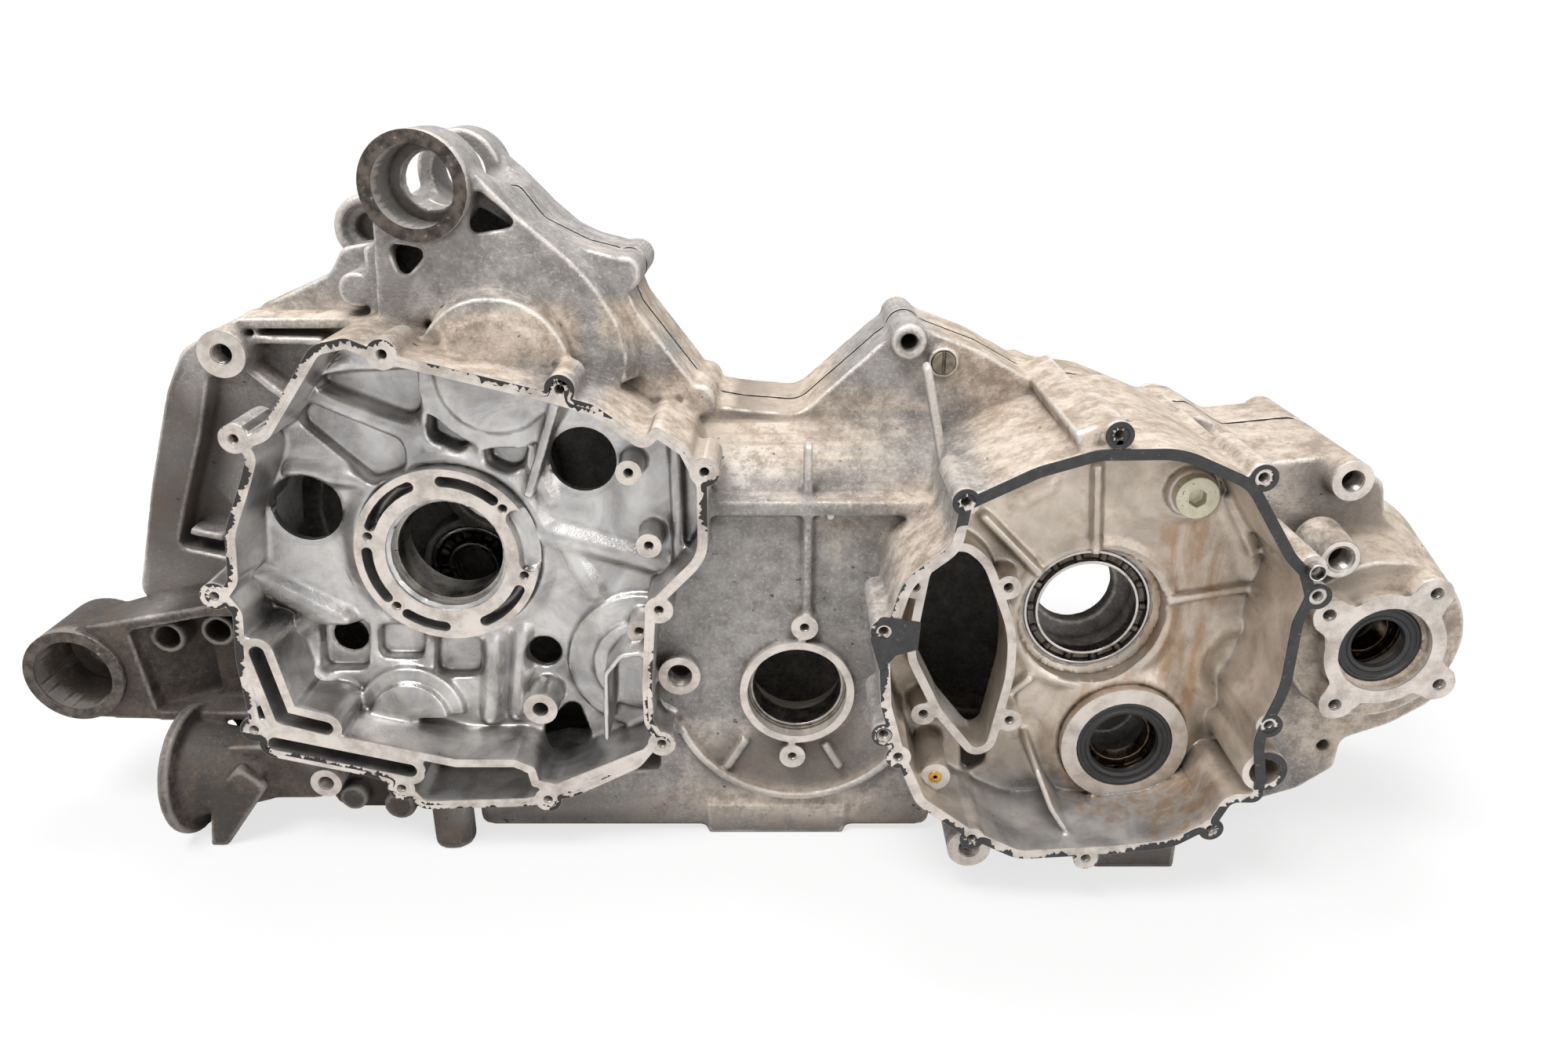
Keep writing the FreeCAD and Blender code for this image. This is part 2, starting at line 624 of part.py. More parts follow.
def front_case():
    """Front casting with both chambers, the tower and the output hub."""
    tower = tapered(tower_front, tower_y, tower_root, -6)
    barrel_profile = [vec(128, 0, 64), vec(128, -40, 56), vec(128, -62, 33)]
    barrel_face = Part.Face(Part.Wire([
        Part.Arc(*barrel_profile).toShape(),
        Part.LineSegment(barrel_profile[2], vec(128, -62, 10)).toShape(),
        Part.LineSegment(vec(128, -62, 10), vec(128, 0, 10)).toShape(),
        Part.LineSegment(vec(128, 0, 10), barrel_profile[0]).toShape(),
    ]))
    body = [
        left_block(),
        slab(panel_outline, panel_y, 0),
        slab(right_outline, right_rim_y, 0),
        slab(right_body_outline, right_body_y, 0),
        taper(hub_axis[0], hub_axis[1], hub_radius, hub_root_radius, hub_y + 10, -20),
        barrel_face.extrude(vec(124, 0, 0)),
        tower,
    ]
    body += left_chamber_shell()
    for radius, rise in dome_steps:
        body.append(drum(dome_axis[0], dome_axis[1], radius, tower_y - rise, -20))
    for x, z in right_screws + right_dowels:
        body.append(drum(x, z, m6_boss, right_rim_y, right_floor_y))
    body.append(drum(right_port[0], right_port[1], 11, right_rim_y, right_floor_y + 20))
    body.append(drum(drain_place[0], drain_place[1], 11, -drain_rise, right_floor_y))
    body.append(drum(top_boss[0], top_boss[1] - 4, m8_boss, -40, 0))
    body.append(drum(mount_boss[0], mount_boss[1], mount_boss_radius, -mount_boss_depth, 0))
    body.append(drum(side_port[0], side_port[1], side_port_boss, -mount_boss_depth, 0))
    body.append(bar((316, 84), (300, 78), 12, right_rim_y + 4, 0))
    body.append(bar((381, 64), (372, 56), 12, right_rim_y + 4, 0))
    body.append(hub_flange())
    for start, end in panel_ribs:
        body.append(bar(start, end, rib, panel_y - 5, panel_y + web))
    body.append(bar(panel_rail[0], panel_rail[1], 8, panel_y - 8, panel_y + web))
    shell = fused(body)
    shell = shell.cut(front_cavities())

    chamber_cuts = [
        offset_slab(left_outline, -wall, left_rim_y, left_floor_y),
        offset_slab(right_outline, -wall, right_rim_y, right_floor_y),
    ]
    shell = shell.cut(chamber_cuts)

    added = left_chamber_floor() + left_chamber_walls() + front_ribs() + block_details()
    for x, z in left_screws:
        added.append(drum(x, z, left_boss, left_rim_y, left_floor_y))
    for x, z in right_screws + right_dowels:
        added.append(drum(x, z, m6_boss, right_rim_y, right_floor_y))
    added.append(drum(right_port[0], right_port[1], 11, right_rim_y, right_floor_y))
    for corners in pockets:
        added.append(offset_slab(corners, 3, left_floor_y, left_floor_y + pocket_depth + 3))
    added.append(offset_slab(lens, lens_wall, lens_y, right_floor_y + 10))
    for x, z in lens_screws:
        added.append(drum(x, z, m6_boss, lens_y, right_floor_y + 8))
    added.append(drum(counter_axis[0], counter_axis[1], counter_boss_radius,
                      right_floor_y - counter_boss_rise, right_floor_y))
    added.append(drum(input_axis[0], input_axis[1], input_recess + wall, right_floor_y - 1.5,
                      right_floor_y + web))
    added.append(drum(jet_axis[0], jet_axis[1], jet_post_radius, right_floor_y - jet_rise,
                      right_floor_y + web))
    added.append(drum(plug_axis[0], plug_axis[1], plug_boss_radius, right_floor_y - plug_rise,
                      right_floor_y + 14))
    for start, end in floor_ribs:
        added.append(bar(start, end, rib, right_floor_y - 5, right_floor_y + web))
    added.append(path_wall(curved_baffle, 3, right_rim_y + 10, right_floor_y + web))
    added.append(drum(shift_axis[0], shift_axis[1], shift_ring_radius, panel_ring_y, panel_y + web))
    for x, z in panel_screw_ears:
        added.append(drum(x, z, 7, panel_ring_y, panel_y + web))
    added.append(arc_slot(shift_axis, arc_rib_radius, -160, -35, rib, panel_y - 6, panel_y + web))
    added.append(drum(port_axis[0], port_axis[1], port_boss, panel_y - 8, panel_y + 16))
    added.append(drum(slot_plug_axis[0], slot_plug_axis[1], slot_plug_radius + 2, -34, 0))
    added += feet_front()
    added += eyes_front()
    shell = fused([shell] + added)
    return shell.cut(front_holes())


def eyes_front():
    """Top and left engine mount eyes with the arm that carries the left one."""
    y0 = -top_eye_front
    eye = drum(top_eye[0], top_eye[1], top_eye_radius, y0, y0 + top_eye_length)
    arm = tapered(arm_front, -left_eye_front + 5, arm_root, -left_eye_front + left_eye_length)
    floor = Part.makePolygon([vec(x, y, -140) for x, y in arm_floor + arm_floor[:1]])
    sunk = Part.Face(floor).extrude(vec(0, 0, 120))
    sunk = sunk.common(Part.Face(polygon_wire(arm_recess, -60)).extrude(vec(0, 60, 0)))
    arm = arm.cut(sunk)
    left = drum(left_eye[0], left_eye[1], left_eye_radius, -left_eye_front,
                -left_eye_front + left_eye_length)
    bosses = [drum(x, z, arm_boss_radius, arm_boss_y, -12) for x, z in arm_bosses]
    return [eye, arm, left] + bosses


def feet_front():
    """Round foot at the left, drain post, pad and right foot, all level with the floor."""
    x, y, z = flange_centre
    disc = Part.makeCylinder(flange_radius, flange_thickness, vec(*flange_centre), vec(1, 0, 0))
    neck = Part.makeCone(neck_radii[0], neck_radii[1], neck_end - x - flange_thickness,
                         vec(x + flange_thickness, y, z), vec(1, 0, 0))
    elbow = path_wall([(neck_end - 14, z + 4), (neck_end + 22, z + 4)], 34, y - 12, -20)
    pipe = Part.makeCylinder(6, 52, vec(x + 20, stub_y + 10, stub[1] + 1), vec(1, 0, 0))
    plate0 = Part.Face(polygon_wire(gusset, gusset_y)).extrude(vec(0, gusset_thickness, 0))
    post = Part.makeCylinder(drain_post_radius, 34, vec(drain_post[0], -drain_post_front
                                                        + drain_post_radius, floor_z))
    web_plate = box(drain_post[0] - 5, drain_post[0] + 5, -drain_post_front + drain_post_radius,
                    block_y, floor_z + 6, floor_z + 30)
    plate = box(pad[0], pad[1], panel_y - 2, -8, floor_z, floor_z + 20)
    right = box(right_foot[0], right_foot[1], -right_foot_front, -8, floor_z, floor_z + 26)
    stubs = [drum(-70, -150, 8, -64, -20), drum(-44, -154, 9, -66, -20),
             drum(stub[0], stub[1], stub_radius, stub_y, -20),
             slab([(-92, -118, 6), (6, -134, 4), (6, -163, 4), (-84, -163, 10)], -54, -20)]
    return [disc, neck, elbow, pipe, plate0, post, web_plate, plate, right] + stubs


def front_holes():
    """All openings and drilled holes of the front casting."""
    cuts = ring_slots()
    top_y = -top_eye_front
    cuts.append(drum(0, 0, crank_bore + shell_wall, crank_ring_y, 1))
    cuts.append(drum(0, 0, crank_bore + shell_wall + 2, crank_ring_y, crank_ring_y + 3))
    cuts.append(drum(window[0], window[1], window[2], left_floor_y, front_joint_y))
    for x, z, r in (round_hole, drain_slot_hole, pin_hole):
        cuts.append(drum(x, z, r, left_floor_y, left_floor_y + 30))
    cuts.append(slab(oil_window, left_floor_y, front_joint_y))
    for corners in pockets:
        cuts.append(slab(corners, left_floor_y, left_floor_y + pocket_depth))
    for x, z, boss, hole, height in posts:
        cuts.append(drum(x, z, hole, left_floor_y - height, left_floor_y - height + m6_depth))
    cuts.append(path_wall(gallery_path, gallery_slot, left_rim_y, left_rim_y + gallery_depth))
    cuts.append(path_wall(sump_slot_path, gallery_slot, left_rim_y, left_rim_y + gallery_depth))
    cuts.append(slab(sump_box, left_rim_y, left_rim_y + 20))
    for x, z in left_screws:
        cuts.append(drum(x, z, m6_hole, left_rim_y, left_rim_y + m6_depth))
    for x, z in right_screws:
        cuts.append(drum(x, z, m6_hole, right_rim_y, right_rim_y + m6_depth))
    for x, z in right_dowels:
        cuts.append(drum(x, z, 4, right_rim_y, right_rim_y + 8))
        cuts.append(drum(x, z, m6_hole, right_rim_y, right_rim_y + m6_depth))
    cuts.append(drum(right_port[0], right_port[1], 7.6, right_rim_y, right_rim_y + 30))
    cuts.append(drum(drain_place[0], drain_place[1], 5.6, -drain_rise, -drain_rise + 20))
    cuts.append(drum(block_boss[0], block_boss[1], block_boss_hole, block_boss_y,
                     block_boss_y + 22))
    cuts.append(drum(stub[0], stub[1], stub_hole, stub_y, stub_y + 20))
    for x, z in arm_bosses:
        cuts.append(drum(x, z, arm_boss_hole, arm_boss_y, arm_boss_y + 18))
    for x, z, radius, y in small_holes:
        cuts.append(drum(x, z, radius, y, y + 12))
    cuts.append(slab(lens, lens_y, front_joint_y))
    for x, z in lens_screws:
        cuts.append(drum(x, z, m6_hole, lens_y, lens_y + m6_depth))
    cuts.append(slab(slot_window, right_floor_y, right_floor_y + 30))
    y = right_floor_y
    cuts.append(drum(input_axis[0], input_axis[1], input_recess, y - 2, y + input_recess_depth))
    cuts.append(drum(input_axis[0], input_axis[1], input_outer, y, y + input_recess_depth
                     + input_width))
    cuts.append(drum(input_axis[0], input_axis[1], input_outer - 3, y, y + 36))
    cuts.append(drum(input_axis[0], input_axis[1], far_ring_radius, y, y + 46))
    y = right_floor_y - counter_boss_rise
    cuts.append(drum(counter_axis[0], counter_axis[1], counter_seal_outer, y,
                     y + counter_seal_width + 1))
    cuts.append(drum(counter_axis[0], counter_axis[1], counter_outer, y, y + 38))
    cuts.append(drum(counter_axis[0], counter_axis[1], counter_bore, y, front_joint_y))
    cuts.append(drum(jet_axis[0], jet_axis[1], jet_radius, right_floor_y - jet_rise,
                     right_floor_y - jet_rise + 12))
    cuts.append(drum(plug_axis[0], plug_axis[1], plug_thread_radius, right_floor_y - plug_rise,
                     right_floor_y + 8))
    cuts.append(drum(hub_axis[0], hub_axis[1], hub_bore, hub_y, hub_y + 6))
    cuts.append(drum(hub_axis[0], hub_axis[1], output_seal_outer, hub_y, hub_y + 22))
    cuts.append(drum(hub_axis[0], hub_axis[1], output_outer, hub_y, hub_y + 40))
    cuts.append(drum(hub_axis[0], hub_axis[1], output_outer - 4, hub_y, front_joint_y))
    for angle in (0, 90, 180, 270):
        x, z = turned(hub_axis, hub_pitch_radius, angle + 45 + hub_turn)
        cuts.append(drum(x, z, m8_hole, hub_y, hub_y + 22))
    cuts.append(drum(shift_axis[0], shift_axis[1], shift_bore, panel_ring_y, front_joint_y))
    for x, z in panel_screw_ears:
        cuts.append(drum(x, z, m6_hole, panel_ring_y, panel_ring_y + m6_depth))
    cuts.append(drum(port_axis[0], port_axis[1], port_hole, panel_y - 8, panel_y + 12))
    cuts.append(drum(top_boss[0], top_boss[1] - 4, m8_hole + 1, -40, -10))
    cuts.append(drum(slot_plug_axis[0], slot_plug_axis[1], slot_plug_radius, -34, -26))
    cuts.append(drum(bead_plug[0], bead_plug[1], bead_plug_radius, panel_y, panel_y + 4))
    cuts.append(drum(mount_boss[0], mount_boss[1], mount_boss_hole, -mount_boss_depth,
                     -mount_boss_depth + 40))
    cuts.append(drum(side_port[0], side_port[1], side_port_hole, -mount_boss_depth,
                     -mount_boss_depth + 20))
    for x, z in case_screws:
        cuts.append(drum(x, z, screw_shank, block_y + 4, 1))
    cuts.append(drum(top_eye[0], top_eye[1], top_eye_bore, top_y,
                     top_y + top_eye_length - top_lip_length))
    cuts.append(drum(top_eye[0], top_eye[1], top_eye_lip, top_y, 1))
    cuts.append(drum(left_eye[0], left_eye[1], left_eye_bore, -left_eye_front,
                     -left_eye_front + left_eye_step))
    cuts.append(drum(left_eye[0], left_eye[1], left_eye_throat, -left_eye_front, 1))
    for corners in tower_pockets:
        cuts.append(slab(corners, tower_y, tower_y + 16))
    cuts.append(box(-400, 700, front_joint_y, 60, -300, 300))
    return cuts


def rear_case():
    """Rear casting: shallow block, crank chamber rim at the left and gear chamber at the right."""
    left_y = rear_left_rim_depth
    left_floor = left_y - rear_left_chamber
    right_y = rear_right_rim_depth
    right_floor = right_y - rear_right_chamber
    bar_run = vec(*bar_end) - vec(*bar_start)
    body = [
        slab(joint_outline, rear_joint_y, rear_block_depth),
        slab(rear_left_outline, rear_joint_y, left_y),
        slab(rear_right_outline, rear_joint_y, right_y),
        drum(top_eye[0], top_eye[1], rear_eye_radius, rear_eye_start,
             rear_eye_start + rear_eye_length),
        drum(ring_boss[0], ring_boss[1], ring_boss_radius, ring_boss_y, 50),
        Part.makeCylinder(bar_radius, bar_run.Length, vec(*bar_start), bar_run),
        drum(mount_boss[0], mount_boss[1], mount_boss_radius, rear_joint_y, rear_column_length),
        tapered(tower_root, 20, tower_front, 46),
    ]
    for first, last in rear_feet:
        body.append(box(first, last, rear_joint_y, rear_foot_depth, floor_z, floor_z + 24))
    for x, z in case_screws:
        body.append(drum(x, z, m8_boss, rear_joint_y, rear_block_depth + 4))
    shell = fused(body)
    rooms = [
        offset_slab(joint_outline, -skin, rear_joint_y, rear_block_depth - web),
        offset_slab(rear_left_outline, -wall - 1, rear_joint_y, left_floor - web),
        offset_slab(rear_right_outline, -wall - 1, rear_joint_y, right_floor - web),
    ]
    shell = shell.cut(rooms)
    shell = shell.cut([
        offset_slab(rear_left_outline, -wall, left_floor, left_y),
        offset_slab(rear_right_outline, -wall, right_floor, right_y),
    ])
    added = [
        drum(0, 0, crank_bore + shell_wall + 7, left_floor - shell_width - 2, left_floor + 6),
        drum(balancer[0], balancer[1], balancer_outer + wall, left_floor - 24, left_floor + 4),
        drum(counter_axis[0], counter_axis[1], counter_outer + wall, right_floor - 30,
             right_floor + 4),
    ]
    for x, z in case_screws:
        added.append(drum(x, z, m8_boss, rear_joint_y, rear_block_depth + 4))
    for angle in range(0, 360, 45):
        start = turned((0, 0), crank_bore + shell_wall + 4, angle)
        end = turned((0, 0), 78, angle)
        added.append(bar(start, end, rib, left_floor - web, left_floor + 4))
    shell = fused([shell] + added)
    cuts = [
        drum(0, 0, crank_bore + shell_wall, 0, left_floor + 6),
        drum(balancer[0], balancer[1], balancer_outer, left_floor - 24, left_floor - 9),
        drum(balancer[0], balancer[1], balancer_outer - 4, left_floor - 24, left_floor),
        drum(counter_axis[0], counter_axis[1], counter_outer, right_floor - 30, right_floor - 10),
        drum(rear_window[0], rear_window[1], rear_window[2], 0, right_y),
        drum(top_eye[0], top_eye[1], top_eye_lip, 0, 100),
        drum(ring_boss[0], ring_boss[1], 12.5, ring_boss_y, ring_boss_y + 5),
        drum(ring_boss[0], ring_boss[1], 8.0, ring_boss_y, ring_boss_y + 14),
        drum(mount_boss[0], mount_boss[1], mount_boss_hole, 0, rear_column_length),
    ]
    for x, z in case_screws:
        cuts.append(drum(x, z, screw_shank + 0.3, 0, rear_block_depth + 4))
        cuts.append(drum(x, z, screw_flange_radius + 1, rear_block_depth + 4, right_y))
    return shell.cut(cuts)


rear_left_outline = [
    (-60, 84, 20), (0, 104, 40), (70, 84, 30), (104, 40, 30), (108, -30, 40), (92, -96, 30),
    (30, -134, 30), (-50, -128, 30), (-100, -84, 30), (-108, -10, 40), (-94, 48, 30),
]
rear_right_outline = [
    (226, 40, 16), (300, 66, 30), (380, 50, 20), (430, 20, 20), (452, -40, 30), (452, -110, 20),
    (420, -152, 16), (330, -160, 20), (262, -150, 16), (226, -110, 20), (214, -40, 30),
]
rear_window = (366.0, -84.0, 40.0)


def ball(centre, radius):
    """Bearing ball with flat faces, twenty in all, kept plain because it repeats."""
    golden = (1 + math.sqrt(5)) / 2
    size = radius / math.sqrt(1 + golden ** 2)
    points = []
    for a in (-1, 1):
        for b in (-golden, golden):
            points += [vec(0, a, b), vec(a, b, 0), vec(b, 0, a)]
    points = [p * size + centre for p in points]
    side = 2 * size
    faces = []
    for i in range(12):
        for j in range(i + 1, 12):
            for k in range(j + 1, 12):
                trio = (points[i], points[j], points[k])
                lengths = [trio[n].distanceToPoint(trio[n - 1]) for n in range(3)]
                if max(lengths) < side * 1.01:
                    faces.append(Part.Face(Part.makePolygon(trio + trio[:1])))
    solid = Part.Solid(Part.Shell(faces))
    if solid.Volume < 0:
        solid.reverse()
    return solid


def race(axis, back, land, groove, width, y, half):
    """Bearing ring turned from its section: back and land radii, and a groove for the balls."""
    x, z = axis
    middle = width / 2
    slope = abs(groove - land)
    profile = [(back, 0), (land, 0), (land, middle - half - slope), (groove, middle - half),
               (groove, middle + half), (land, middle + half + slope), (land, width),
               (back, width)]
    corners = [vec(x + r, y + depth, z) for r, depth in profile]
    face = Part.Face(Part.makePolygon(corners + corners[:1]))
    return face.revolve(vec(x, 0, z), vec(0, 1, 0), 360)


def ball_bearing(axis, bore, outer, width, y, count):
    """Outer ring, inner ring and ball set of a deep-groove bearing whose front face is at y."""
    pitch = (bore + outer) / 2
    radius = 0.30 * (outer - bore)
    land = 0.22 * (outer - bore)
    reach = radius + ball_gap
    half = reach * math.tan(math.pi / 8)
    x, z = axis
    outer_ring = race(axis, outer, outer - land, pitch + reach, width, y, half)
    inner_ring = race(axis, bore, bore + land, pitch - reach, width, y, half)
    balls = []
    for n in range(count):
        bx, bz = turned(axis, pitch, 360.0 * n / count)
        balls.append(ball(vec(bx, y + width / 2, bz), radius))
    return outer_ring, inner_ring, Part.makeCompound(balls)


def lip_seal(axis, bore, outer, width, y):
    """Oil seal: flat rubber face, a thicker outer band and a lip that leans in."""
    x, z = axis
    profile = [(bore, 1.5), (bore + 2, 0), (outer, 0), (outer, width), (outer - 2, width),
               (outer - 2, 2.5), (bore + 3, 2.5), (bore + 2, width - 2), (bore, width - 3)]
    corners = [vec(x + r, y + depth, z) for r, depth in profile]
    face = Part.Face(Part.makePolygon(corners + corners[:1]))
    return face.revolve(vec(x, 0, z), vec(0, 1, 0), 360)


def shell_half(y, upper):
    """Half of a plain crank bearing."""
    ring = tube(0, 0, crank_bore + shell_wall, crank_bore, y, y + shell_width)
    reach = crank_bore + shell_wall + 1
    if upper:
        return ring.common(box(-reach, reach, y, y + shell_width, shell_split / 2, reach))
    return ring.common(box(-reach, reach, y, y + shell_width, -reach, -shell_split / 2))


def hexagon(x, z, width, y0, y1):
    corners = []
    for n in range(6):
        px, pz = turned((x, z), width / math.sqrt(3), 60 * n + 30)
        corners.append(vec(px, y0, pz))
    return Part.Face(Part.makePolygon(corners + corners[:1])).extrude(vec(0, y1 - y0, 0))


def case_screw(x, z):
    """Flanged hexagon screw from behind, through the rear half into the front one."""
    face = rear_block_depth + 4
    shank = drum(x, z, screw_shank, face - screw_length, face)
    flange = drum(x, z, screw_flange_radius, face, face + screw_flange)
    head = hexagon(x, z, screw_head_width, face, face + screw_flange + screw_head_height)
    return shank.fuse([flange, head]).removeSplitter()


def joint_sealant():
    """Film of sealant that fills the joint all round."""
    film = slab(joint_outline, front_joint_y, rear_joint_y)
    film = film.cut(offset_slab(joint_outline, -skin, front_joint_y, rear_joint_y))
    film = fused([film] + [drum(x, z, m8_boss, front_joint_y, rear_joint_y)
                           for x, z in case_screws])
    holes = [drum(x, z, screw_shank + 0.6, front_joint_y, rear_joint_y) for x, z in case_screws]
    holes.append(drum(top_eye[0], top_eye[1], top_eye_lip + 1, front_joint_y, rear_joint_y))
    return film.cut(holes)


def cover_gasket():
    """What is left of the paper gasket on the right cover face: a long arc and one scrap."""
    y0 = right_rim_y - gasket
    band = slab(right_outline, y0, right_rim_y)
    for x, z in right_screws[:7]:
        band = band.fuse(drum(x, z, m6_boss, y0, right_rim_y))
    band = band.cut(offset_slab(right_outline, -wall, y0, right_rim_y))
    keep = Part.Face(polygon_wire([(244, 42), (230, 110), (440, 110), (440, -96), (398, -96),
                                   (380, -60), (380, 20), (330, 40), (262, 44)], y0))
    band = band.common(keep.extrude(vec(0, gasket, 0)))
    for x, z in right_screws + right_dowels:
        band = band.cut(drum(x, z, 4.2, y0, right_rim_y))
    scrap = slab([(212, -14, 2), (216, -2, 3), (235, -5, 1), (234, -19, 1), (224, -22, 1),
                  (217, -31, 1)], y0, right_rim_y)
    scrap = scrap.cut(drum(218.1, -10, m6_hole + 1, y0, right_rim_y))
    return Part.makeCompound(solids_of(band) + solids_of(scrap))


def solids_of(shape):
    return [s for s in shape.Solids if s.Volume > 1.0]


def socket_plug():
    """Hexagon socket plug seated on its boss in the right chamber."""
    x, z = plug_axis
    y = right_floor_y - plug_rise
    plug = drum(x, z, plug_radius, y - 6, y).fuse(drum(x, z, plug_thread_radius, y, y + 7.5))
    return plug.cut(hexagon(x, z, 8, y - 6, y - 1)).removeSplitter()


def slotted_plug():
    x, z = slot_plug_axis
    plug = drum(x, z, slot_plug_radius, -35, -26)
    return plug.cut(box(x - 0.8, x + 0.8, -35, -33, z - 8, z + 8))


def build_parts():
    """All pieces by name."""
    parts = {}
    parts["front_case"] = front_case()
    parts["rear_case"] = rear_case()
    parts["joint_sealant"] = joint_sealant()
    parts["cover_gasket"] = cover_gasket()
    rear_floor = rear_left_rim_depth - rear_left_chamber
    for place, y in (("front", crank_ring_y + 8), ("rear", rear_floor - shell_width)):
        parts["crank_shell_" + place + "_upper"] = shell_half(y, True)
        parts["crank_shell_" + place + "_lower"] = shell_half(y, False)
    bearings = [
        ("input_bearing", input_axis, input_bore, input_outer, input_width,
         right_floor_y + input_recess_depth, input_balls),
        ("balancer_bearing", balancer, balancer_bore, balancer_outer, balancer_width,
         rear_floor - 24, balancer_balls),
        ("countershaft_bearing", counter_axis, counter_bore, counter_outer, counter_width,
         right_floor_y - counter_boss_rise + counter_seal_width + 2, 9),
        ("output_bearing", hub_axis, output_bore, output_outer, output_width, hub_y + 24, 9),
    ]
    for name, axis, bore, outer, width, y, count in bearings:
        outer_ring, inner_ring, balls = ball_bearing(axis, bore, outer, width, y, count)
        parts[name + "_outer_ring"] = outer_ring
        parts[name + "_inner_ring"] = inner_ring
        parts[name + "_balls"] = balls
    parts["countershaft_seal"] = lip_seal(counter_axis, counter_seal_bore, counter_seal_outer,
                                          counter_seal_width, right_floor_y - counter_boss_rise)
    parts["output_seal"] = lip_seal(hub_axis, output_seal_bore, output_seal_outer,
                                    output_seal_width, hub_y + 6)
    parts["socket_plug"] = socket_plug()
    parts["slotted_plug"] = slotted_plug()
    parts["bead_plug"] = drum(bead_plug[0], bead_plug[1], bead_plug_radius, panel_y - 0.6,
                              panel_y + 4)
    y = right_floor_y - jet_rise
    parts["oil_jet"] = tube(jet_axis[0], jet_axis[1], jet_radius, 1.0, y - 0.5, y + 10)
    y = panel_ring_y + 8
    parts["shift_sleeve"] = tube(shift_axis[0], shift_axis[1], shift_bore,
                                 shift_bore - shift_sleeve_wall, y, y + shift_sleeve_width)
    parts["shift_circlip"] = tube(shift_axis[0], shift_axis[1], shift_bore,
                                  shift_bore - circlip_wall, y - 1.4, y)
    dowels = [tube(x, z, 4, m6_hole + 0.6, right_rim_y - 5, right_rim_y + 8)
              for x, z in right_dowels[:1]]
    parts["cover_dowel"] = dowels[0]
    parts["case_screws"] = Part.makeCompound([case_screw(x, z) for x, z in case_screws])
    return parts


def main():
    os.makedirs("parts", exist_ok=True)
    for name, shape in build_parts().items():
        if not shape.isValid():
            print("not valid:", name)
        print(name, len(shape.Solids), round(shape.Volume / 1000, 1), "cm3")
        shape.exportStep("parts/" + name + ".step")


main()
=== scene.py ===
import math

import bmesh
import bpy
import numpy as np
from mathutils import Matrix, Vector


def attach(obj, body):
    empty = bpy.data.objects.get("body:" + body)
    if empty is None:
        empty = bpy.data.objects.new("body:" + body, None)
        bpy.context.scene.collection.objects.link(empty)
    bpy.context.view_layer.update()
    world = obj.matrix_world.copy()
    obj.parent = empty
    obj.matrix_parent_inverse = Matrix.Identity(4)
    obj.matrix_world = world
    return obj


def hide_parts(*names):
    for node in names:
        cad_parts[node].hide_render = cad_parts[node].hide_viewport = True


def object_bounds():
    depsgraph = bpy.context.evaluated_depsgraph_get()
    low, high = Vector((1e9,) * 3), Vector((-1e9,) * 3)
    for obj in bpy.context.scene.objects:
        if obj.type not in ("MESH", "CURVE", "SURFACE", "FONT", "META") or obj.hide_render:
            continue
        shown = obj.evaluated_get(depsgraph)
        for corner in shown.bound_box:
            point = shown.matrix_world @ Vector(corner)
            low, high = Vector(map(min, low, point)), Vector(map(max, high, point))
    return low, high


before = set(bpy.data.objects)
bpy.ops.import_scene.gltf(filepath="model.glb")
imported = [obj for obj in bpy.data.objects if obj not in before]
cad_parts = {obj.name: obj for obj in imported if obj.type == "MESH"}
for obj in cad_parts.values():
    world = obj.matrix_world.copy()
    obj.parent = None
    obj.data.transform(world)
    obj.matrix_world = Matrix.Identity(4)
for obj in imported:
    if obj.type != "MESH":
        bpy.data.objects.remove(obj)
cad_box = [list(corner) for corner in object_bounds()]

# Engine crankcase, split and stripped, as it stands on a pale floor. Sizes below are millimetres in
# the row's frame: X along the case, Y to the back, Z up, crank axis at X 0, Z 0. A place on a face
# seen from the front is given as X and Z, and a level as Y.
MM = 0.001

# The photograph's camera, found from its vanishing point
FOCAL_PX = 1440.0
PHOTO_WIDTH_PX = 1999.0
SENSOR_MM = 36.0
PITCH_DEG = 21.767
CAMERA_AT = (172.11, -596.35, 229.27)

# Light: the world's strength, and each lamp's place, size and power, in metres and watts
WORLD_STRENGTH = 0.36
LAMP_TARGET = (0.16, -0.05, 0.0)
LAMPS = {
    "key": ((-0.35, -0.8, 1.7), (0.9, 0.6), 30),
    "fill": ((1.4, -1.5, 0.5), (1.0, 1.0), 8),
    "top": ((0.3, 0.5, 1.6), (1.2, 0.6), 16),
}

# Floor, in metres: half its side, the object's middle and the reach over which it fades, and how
# white it is seen within that
FLOOR_HALF = 6.0
FLOOR_MIDDLE = (0.16, 0.0)
FLOOR_FADE = (0.3, 0.85)
FLOOR_WHITE = 0.72

# Axes of the case
CRANK = (0.0, 0.0)
INPUT = (328.0, -27.0)
BALANCER = (-21.0, -56.0)
COUNTERSHAFT = (350.0, -97.5)
HUB = (470.0, -37.0)
SHIFT = (179.0, -76.0)
TOP_EYE = (0.0, 180.0)
LEFT_EYE = (-216.5, -77.5)
PLUG = (368.0, 42.0)
MOUNT_SCREW = (451.0, 43.0)
POST_BOSS = (117.3, -65.0)
BLOCK_BOSS = (-110.8, 97.5)
LOWER_BOSS = (266.5, -139.0)
STUB = (-79.0, -133.0)

